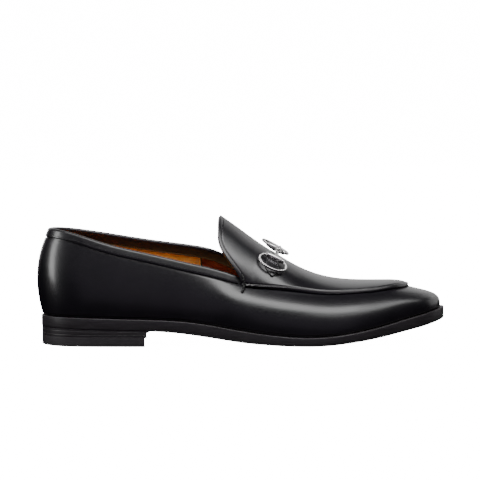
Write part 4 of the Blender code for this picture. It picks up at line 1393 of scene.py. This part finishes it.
@dataclass
class Apron:
    """Raised apron cut in one with the tongue: its beaded seam, folded edge, lining and bar tacks."""

    thickness: float = 0.0015
    tongue_thickness: float = 0.0022
    bead: float = 0.00048
    bead_at: float = 0.0010
    bead_width: float = 0.00045
    groove: float = 0.00040
    groove_at: float = 0.0020
    groove_width: float = 0.00045
    edge_round: float = 0.0007
    fold_at: float = 0.0027
    fold_depth: float = 0.00018
    fold_width: float = 0.0004
    tongue_round: float = 0.0006
    under_lift: float = 0.0004
    lining_lift: float = 0.0003
    lift_fade: float = 0.02
    lining_round: float = 0.0004
    lining_thickness: float = 0.0004
    lining_rows: int = 12
    stitch_pitch: float = 0.0024
    stitch_length: float = 0.0017
    thread: float = 0.00042
    tack_row: float = 7.20
    tack_foot: float = 0.90
    tack_radius: float = 0.00092
    tack_twist: float = 0.00012
    tack_knot: float = 0.00025
    turns: int = 150
    tongue_rows: int = 70
    vamp_rows: int = 190

    def __post_init__(self) -> None:
        """Works out the apron's base surface and how far each point is from its edges."""
        rows, crests = LAST.apron_rows(self.tongue_rows, self.vamp_rows)
        self.turn = np.linspace(-pi / 2, pi / 2, self.turns + 1)
        self.base = LAST.arches(rows, crests, self.turn)
        self.normals = normals_of(self.base)
        fine = np.linspace(APRON_START_ROW - 0.3, TOE_ROW, 3000)
        self.seam_distance = distances(self.base, np.concatenate(LAST.seam(fine)))
        self.free_distance = distances(self.base[: self.tongue_rows * 2], self.free_edge())
        rest = np.full((len(self.base) - self.tongue_rows * 2, self.turns + 1), 1.0)
        self.free_distance = np.concatenate([self.free_distance, rest])

    def free_edge(self) -> np.ndarray:
        """Closely set points of the tongue's free edge."""
        rows, crests = LAST.apron_rows(self.tongue_rows, self.vamp_rows)
        return LAST.arches(rows[:1], crests[:1], np.linspace(-pi / 2, pi / 2, 2000))[0]

    def relief(self) -> np.ndarray:
        """Relief of the apron's face: bead and groove along the seam, fold along the tongue's edge.

        Returns:
            Heights over the face's plain lift, by arch and by turn.
        """
        bead = self.bead * bump_at(self.seam_distance, self.bead_at, self.bead_width)
        groove = self.groove * bump_at(self.seam_distance, self.groove_at, self.groove_width)
        fold = self.fold_depth * bump_at(self.free_distance, self.fold_at, self.fold_width)
        edge = rounded_edge(self.seam_distance, self.edge_round)
        edge += rounded_edge(self.free_distance, self.tongue_round)
        return bead - groove - fold - edge

    def face(self) -> np.ndarray:
        """Grid of the apron's outer face."""
        return lifted(self.base, LAST.gap + self.thickness + self.relief(), self.normals)

    def skin(self) -> None:
        """Makes the apron and tongue, and the tongue's lining."""
        maker = MeshMaker()
        fade = np.exp(-self.free_distance / self.lift_fade)
        maker.sheet(self.face(), lifted(self.base, LAST.gap + self.under_lift * fade, self.normals))
        maker.piece("apron_and_tongue", CALF, "apron_tongue")
        count = self.tongue_rows + self.lining_rows
        inner = np.cos(self.turn)[None].clip(0)
        free = np.clip(1 - np.arange(count) / self.tongue_rows, 0, 1)[:, None]
        base, normals = self.base[:count], self.normals[:count]
        extra = free * inner * (self.tongue_thickness - self.thickness)
        edge = rounded_edge(self.free_distance[:count], self.lining_round)
        top = LAST.gap + self.lining_lift * fade[:count] - edge * 0.4
        bottom = LAST.gap - self.lining_thickness - extra + edge
        maker = MeshMaker()
        maker.sheet(lifted(base, top, normals), lifted(base, bottom, normals))
        maker.piece("tongue_lining", TONGUE_LINING)

    def edge_stitches(self) -> None:
        """Makes the row of stitches inside the tongue's folded edge."""
        line, ups = [], []
        face = self.face()
        for column in range(4, self.turns - 3):
            at = self.free_distance[: self.tongue_rows * 2, column]
            count = int(np.argmax(at > self.fold_at)) + 2
            line.append(read_off(self.fold_at, at[:count], face[:count, column]))
            ups.append(read_off(self.fold_at, at[:count], self.normals[:count, column]))
        maker = MeshMaker()
        stitches(maker, np.array(line), np.array(ups), self.stitch_pitch, self.stitch_length, self.thread)
        maker.piece("tongue_stitches", THREAD)

    def place(self, x: float, reach: float, side: Side) -> tuple[np.ndarray, np.ndarray]:
        """Finds a place on the apron's plain face.

        Args:
            x: X of the crest that the place is measured from.
            reach: Distance from the crest along the arch.
            side: The side towards which it lies.

        Returns:
            The point and the unit normal there.
        """
        rows = np.linspace(THROAT_ROW - 1, TOE_ROW - 1, 60)
        step = LAST.length / 300
        near = np.array([x - step, x, x + step])
        turns = np.linspace(-pi / 2, pi / 2, 113)
        grid = LAST.arches(np.interp(near, LAST.middle(rows), rows), near, turns)
        normals = normals_of(grid)[1]
        line = grid[1] + normals * (LAST.gap + self.thickness)
        walked = walked_along(line)
        at = walked[len(turns) // 2] + side.value * reach
        normal = read_off(at, walked, normals)
        return read_off(at, walked, line), normal / np.linalg.norm(normal)

    def bar_tacks(self) -> None:
        """Makes the corded tack that holds each end of the apron's seam."""
        maker = MeshMaker()
        for side in Side:
            row = np.array([self.tack_row])
            ribs = LAST.ribs(row if side is Side.OUTER else RING_ROWS - row)
            out = ribs.top_out[0]
            column = 0 if side is Side.OUTER else -1
            starts = self.base[: self.tongue_rows, column, 0]
            line = self.face()[int(np.argmin(np.abs(starts - ribs.top[0, 0])))]
            line = line if side is Side.OUTER else line[::-1]
            heights = np.array([0.0088, 0.0078, 0.0040, 0.0006])
            above = read_off(heights, walked_along(line), line)
            ahead = np.array([0.0012, 0.0010, 0.0005, 0.0])[:, None] * np.array([1.0, 0.0, 0.0])
            lifts = np.array([0.0, 0.0007, 0.0009, 0.0010])[:, None] * (out + UP * 0.5)
            low = ribs.wall(self.tack_foot)[0]
            back = np.array([-0.0014, 0.0, 0.0])
            path = [*(above + ahead + lifts), low + out * 0.0008 + back, low + out * 0.0001 + back * 1.3]
            fine = np.linspace(0, 1, 60)
            knots_at = bump_at(fine, 0.06, 0.06) + bump_at(fine, 0.93, 0.06)
            radii = self.tack_radius + self.tack_twist * np.sin(fine * 60) + self.tack_knot * knots_at
            maker.tube(Spline(np.linspace(0, 1, len(path)), path).at(fine), radii, 12)
        maker.piece("bar_tacks", CORD)

    def build(self) -> None:
        """Makes every piece of the apron."""
        self.skin()
        self.edge_stitches()
        self.bar_tacks()


def ellipse(
    length: float, width: float, along: np.ndarray, across: np.ndarray, turns: np.ndarray
) -> np.ndarray:
    """Points of an ellipse of a length and width round its own middle, at turns."""
    return np.outer(np.cos(turns) * length / 2, along) + np.outer(np.sin(turns) * width / 2, across)


@dataclass
class Bit:
    """Snaffle bit over the instep: two cast halves, the link between them and the tabs that hold them."""

    apron: Apron
    ring_x: float = 0.1698
    link_x: float = 0.1728
    shift: float = 0.0025
    outer_turn: float = 17
    inner_turn: float = 12
    stand_off: float = 0.0051
    link_stand_off: float = 0.0042
    reach: float = 0.0203
    ring_length: float = 0.0230
    ring_width: float = 0.0160
    ring_wire: float = 0.0019
    ring_steps: int = 240
    wire_ribs: int = 40
    wire_relief: float = 0.10
    barrel_length: float = 0.0156
    barrel_set: float = 0.0013
    barrel_diameter: float = 0.0048
    barrel_end: float = 0.0026
    bar_diameter: float = 0.0030
    eye_diameter: float = 0.0054
    eye_wire: float = 0.0014
    link_length: float = 0.0076
    link_height: float = 0.0062
    link_wire: float = 0.0013
    tab_start: float = 0.0172
    tab_end: float = 0.0335
    tab_point: float = 0.0060
    tab_width: float = 0.0095
    tab_thickness: float = 0.0012
    tab_round: float = 0.0004
    crease_at: float = 0.0012
    crease_depth: float = 0.00015
    crease_width: float = 0.0003
    tab_stitches: int = 6
    tab_thread: float = 0.00048

    def directions(self, side: Side) -> tuple[np.ndarray, np.ndarray, np.ndarray, float]:
        """Frame of one half of the bit.

        Args:
            side: The side of the foot that it lies on.

        Returns:
            The link's place, the half's directions ahead and out, and how far out its ring lies.
        """
        crest, crest_normal = self.apron.place(self.link_x, self.shift, Side.OUTER)
        link = crest + crest_normal * self.link_stand_off
        reach = self.reach - side.value * self.shift
        ring, ring_normal = self.apron.place(self.ring_x, reach, side)
        out = ring + ring_normal * self.stand_off - link
        span = float(np.linalg.norm(out))
        out /= span
        ahead = self.apron.place(self.ring_x + self.ring_wire, reach, side)[0] - ring
        ahead -= out * ahead.dot(out)
        return link, ahead / np.linalg.norm(ahead), out, span

    def half(self, side: Side) -> None:
        """Makes one half: ring with a ribbed wire, barrel, bar and eye.

        Args:
            side: The side of the foot that it lies on.
        """
        link, ahead, out, span = self.directions(side)
        maker = MeshMaker()
        width = self.ring_width - self.ring_wire
        turn = np.arange(self.ring_steps) * 2 * pi / self.ring_steps
        length = self.ring_length - self.ring_wire
        drop = radians(self.outer_turn if side is Side.OUTER else self.inner_turn)
        turned = out * cos(drop) + np.cross(ahead, out) * sin(drop)
        barrel_at = link + out * (span - width / 2)
        centre = barrel_at + turned * width / 2
        path = centre + ellipse(length, width, ahead, turned, turn)
        ribbed = self.ring_wire / 2 * (1 + self.wire_relief * np.cos(turn * self.wire_ribs))
        maker.tube(path, ribbed, 20, closed=True)
        share = np.sin(np.linspace(-pi / 2, pi / 2, 49))
        swell = self.barrel_end + (self.barrel_diameter - self.barrel_end) * (1 - share**2)
        collars = 0.0003 * (bump_at(np.abs(share), 0.93, 0.035) + bump_at(np.abs(share), 0.80, 0.02))
        cap = np.sqrt(np.clip(1 - np.clip(np.abs(share) - 0.95, 0, 1) ** 2 / 0.05**2, 0.02, 1))
        middle = barrel_at + turned * self.barrel_set
        maker.tube(middle + np.outer(share * self.barrel_length / 2, ahead), (swell / 2 + collars) * cap, 32)
        eye_at = link + out * (self.link_length - self.link_wire) / 2
        start = eye_at + out * (self.eye_diameter - self.eye_wire) / 2
        along = np.linspace(0, 1, 25)
        stops = (self.eye_wire, self.bar_diameter, self.bar_diameter, self.barrel_end)
        radii = np.interp(along, (0, 0.35, 0.7, 1), stops) / 2 + 0.0002 * bump_at(along, 0.5, 0.08)
        maker.tube(start + np.outer(along, barrel_at - start), radii, 24)
        turn = np.arange(48) * 2 * pi / 48
        loop = self.eye_diameter - self.eye_wire
        path = eye_at + ellipse(loop, loop, ahead, out, turn)
        maker.tube(path, np.full(len(turn), self.eye_wire / 2), 14, closed=True)
        name = "lateral" if side is Side.OUTER else "medial"
        maker.piece(f"bit_ring_{name}", STEEL, f"bit_half_{name}")

    def link(self) -> None:
        """Makes the small upright link through both eyes."""
        link, ahead, outer, _ = self.directions(Side.OUTER)
        across = self.directions(Side.INNER)[2] - outer
        across /= np.linalg.norm(across)
        up = np.cross(ahead, across)
        up *= np.sign(up[2]) / np.linalg.norm(up)
        turn = np.arange(64) * 2 * pi / 64
        length, height = self.link_length - self.link_wire, self.link_height - self.link_wire
        path = link + ellipse(length, height, across, up, turn)
        maker = MeshMaker()
        maker.tube(path, np.full(len(turn), self.link_wire / 2), 16, closed=True)
        maker.piece("bit_centre_link", STEEL, "bit_link")

    def tab(self, side: Side) -> None:
        """Makes the leather tab under one ring, with its slanted stitches.

        Args:
            side: The side of the foot that it lies on.
        """
        start = self.tab_start - side.value * self.shift
        straight = self.tab_end - self.tab_point - start
        reaches = [start + straight * share for share in np.linspace(0, 1, 12)]
        widths = [self.tab_width] * len(reaches)
        for share in np.linspace(0, 1, 9)[1:]:
            reaches.append(self.tab_end - self.tab_point * (1 - share))
            widths.append(self.tab_width * (1 - 0.8 * share**1.2))
        across = np.linspace(-0.5, 0.5, 15)
        low, high = [], []
        for reach, width in zip(reaches, widths):
            places = [self.apron.place(self.ring_x + width * share, reach, side) for share in across]
            edge = np.minimum(0.5 - np.abs(across), 1) * width
            crease = self.crease_depth * bump_at(edge, self.crease_at, self.crease_width)
            tops = LAST.gap + self.tab_thickness - (rounded_edge(edge, self.tab_round) + crease)
            low.append([point + normal * LAST.gap for point, normal in places])
            high.append([point + normal * top for (point, normal), top in zip(places, tops)])
        maker = MeshMaker()
        maker.slab(np.array(high), np.array(low))
        name = "lateral" if side is Side.OUTER else "medial"
        maker.piece(f"bit_tab_{name}", CALF, f"tab_{name}")
        maker = MeshMaker()
        for number in range(self.tab_stitches):
            middle = self.ring_x + self.tab_width * (-0.34 + 0.136 * number)
            ends = [
                self.apron.place(middle - 0.0006, self.reach - 0.0012, side),
                self.apron.place(middle + 0.0006, self.reach + 0.0022, side),
            ]
            raise_by = LAST.gap + self.tab_thickness
            line = np.linspace(ends[0][0] + ends[0][1] * raise_by, ends[1][0] + ends[1][1] * raise_by, 9)
            ups = np.linspace(ends[0][1], ends[1][1], 9)
            sink = np.array([-0.7, 0, 0.3, 0.4, 0.4, 0.4, 0.3, 0, -0.7]) * 0.0005
            maker.tube(line + ups * sink[:, None], np.full(len(sink), self.tab_thread / 2), 8)
        # The stitches' light grey is a painted highlight of the thread's glints.
        maker.piece(f"tab_stitches_{name}", TAB_THREAD_PAINTED_GLINT)

    def build(self) -> None:
        """Makes every piece of the bit."""
        for side in Side:
            self.half(side)
            self.tab(side)
        self.link()


@dataclass(frozen=True)
class Softbox:
    """A large soft light: where it stands, where it looks, its size, its brightness and its warmth."""

    name: str
    place: tuple[float, float, float]
    aim: tuple[float, float, float]
    width: float
    height: float
    brightness: float
    colour: str = "#ffffff"

    def build(self) -> None:
        """Adds the light. Its power gives its face the same brightness whatever its size."""
        data = bpy.data.lights.new(self.name, "AREA")
        data.shape = "RECTANGLE"
        data.size, data.size_y = self.width, self.height
        data.energy = pi * self.width * self.height * self.brightness
        data.color = linear(self.colour)[:3]
        made = bpy.data.objects.new(self.name, data)
        made.location = self.place
        direction = Vector(self.aim) - Vector(self.place)
        made.rotation_euler = direction.to_track_quat("-Z", "Y").to_euler()
        made.visible_camera = False
        bpy.context.scene.collection.objects.link(made)


@dataclass(frozen=True)
class Studio:
    """Pale floor, soft lights and the camera."""

    distance: float = 3.0
    elevation: float = 5.0
    roll: float = 0.5
    sensor: float = 36.0
    view_width: float = 0.3564
    target: tuple[float, float, float] = (0.0, 0.0, 0.0759)
    floor_radius: float = 30.0
    whiteness: float = 16.0
    lights: tuple[Softbox, ...] = (
        Softbox("overhead_box", (0.17, -0.58, 1.10), (0.1, 0, 0.05), 0.75, 0.5, 6.8),
        Softbox("overhead_right_box", (0.85, -0.58, 1.10), (0.1, 0, 0.05), 0.6, 0.5, 3.6),
        Softbox("front_right_box", (0.50, -1.00, 0.95), (0.05, 0, 0.08), 0.6, 0.4, 2.0),
        Softbox("upper_left_box", (-0.34, -0.36, 1.15), (0, 0, 0.05), 0.6, 0.4, 4.5),
        Softbox("front_ceiling_box", (0.0, -0.9, 2.0), (0, 0, 0.05), 3.0, 1.3, 0.5),
        Softbox("upper_right_box", (1.1, 0.75, 1.2), (0, 0, 0.05), 1.0, 0.8, 0.9),
        Softbox("left_strip_box", (-1.25, -0.36, 0.50), (-0.1, 0, 0.05), 0.34, 0.8, 9.0),
        Softbox("back_white_wall", (0.0, 1.6, 0.75), (0, 0, 0.08), 3.4, 1.5, 0.9),
        Softbox("right_white_wall", (2.2, 0.7, 0.7), (0, 0, 0.08), 2.0, 1.4, 1.2),
        Softbox("front_fill_box", (0.2, -2.2, 0.45), (0.0, 0, 0.05), 2.6, 1.5, 0.22, "#f1e6fa"),
    )

    def floor(self) -> None:
        """Adds a wide pale floor."""
        mesh = bpy.data.meshes.new("pale_floor")
        reach = self.floor_radius
        corners = [(-reach, -reach, 0), (reach, -reach, 0), (reach, reach, 0), (-reach, reach, 0)]
        mesh.from_pydata(corners, [], [(0, 1, 2, 3)])
        material = bpy.data.materials.new("pale_floor")
        material.use_nodes = True
        shader = material.node_tree.nodes["Principled BSDF"]
        shader.inputs["Base Color"].default_value = linear("#e8e8e8")
        shader.inputs["Roughness"].default_value = 0.9
        shader.inputs["Specular IOR Level"].default_value = 0.0
        shader.inputs["Emission Color"].default_value = linear("#ffffff")
        shader.inputs["Emission Strength"].default_value = self.whiteness
        mesh.materials.append(material)
        made = bpy.data.objects.new("pale_floor", mesh)
        made.visible_glossy = False
        made.visible_diffuse = False
        bpy.context.scene.collection.objects.link(made)

    def world(self) -> None:
        """Makes the room behind the floor white to the eye; the softboxes alone are reflected."""
        world = bpy.data.worlds.new("white_room")
        world.use_nodes = True
        world.node_tree.nodes["Background"].inputs["Color"].default_value = linear("#ffffff")
        world.node_tree.nodes["Background"].inputs["Strength"].default_value = self.whiteness
        for kind in ("diffuse", "glossy", "transmission", "scatter"):
            setattr(world.cycles_visibility, kind, False)
        bpy.context.scene.world = world

    def camera(self) -> None:
        """Adds the camera: far away with a long lens, a little above the shoe, rolled like the photograph."""
        data = bpy.data.cameras.new("camera")
        data.sensor_width = self.sensor
        data.lens = self.sensor * self.distance / self.view_width
        made = bpy.data.objects.new("camera", data)
        tilt = radians(self.elevation)
        away = Vector((0, -cos(tilt), sin(tilt))) * self.distance
        made.location = Vector(self.target) + away
        turned = (-away).to_track_quat("-Z", "Y").to_matrix().to_4x4()
        made.rotation_euler = (turned @ Matrix.Rotation(radians(-self.roll), 4, "Z")).to_euler()
        bpy.context.scene.collection.objects.link(made)
        bpy.context.scene.camera = made

    def build(self) -> None:
        """Adds everything that isn't the shoe."""
        self.floor()
        self.world()
        self.camera()
        for light in self.lights:
            light.build()


def main() -> None:
    """Builds the studio and then the shoe."""
    logging.basicConfig(level=logging.INFO, format="%(message)s")
    Studio().build()
    Sole().build()
    Upper().build()
    apron = Apron()
    apron.build()
    Bit(apron).build()


if __name__ == "__main__":
    main()
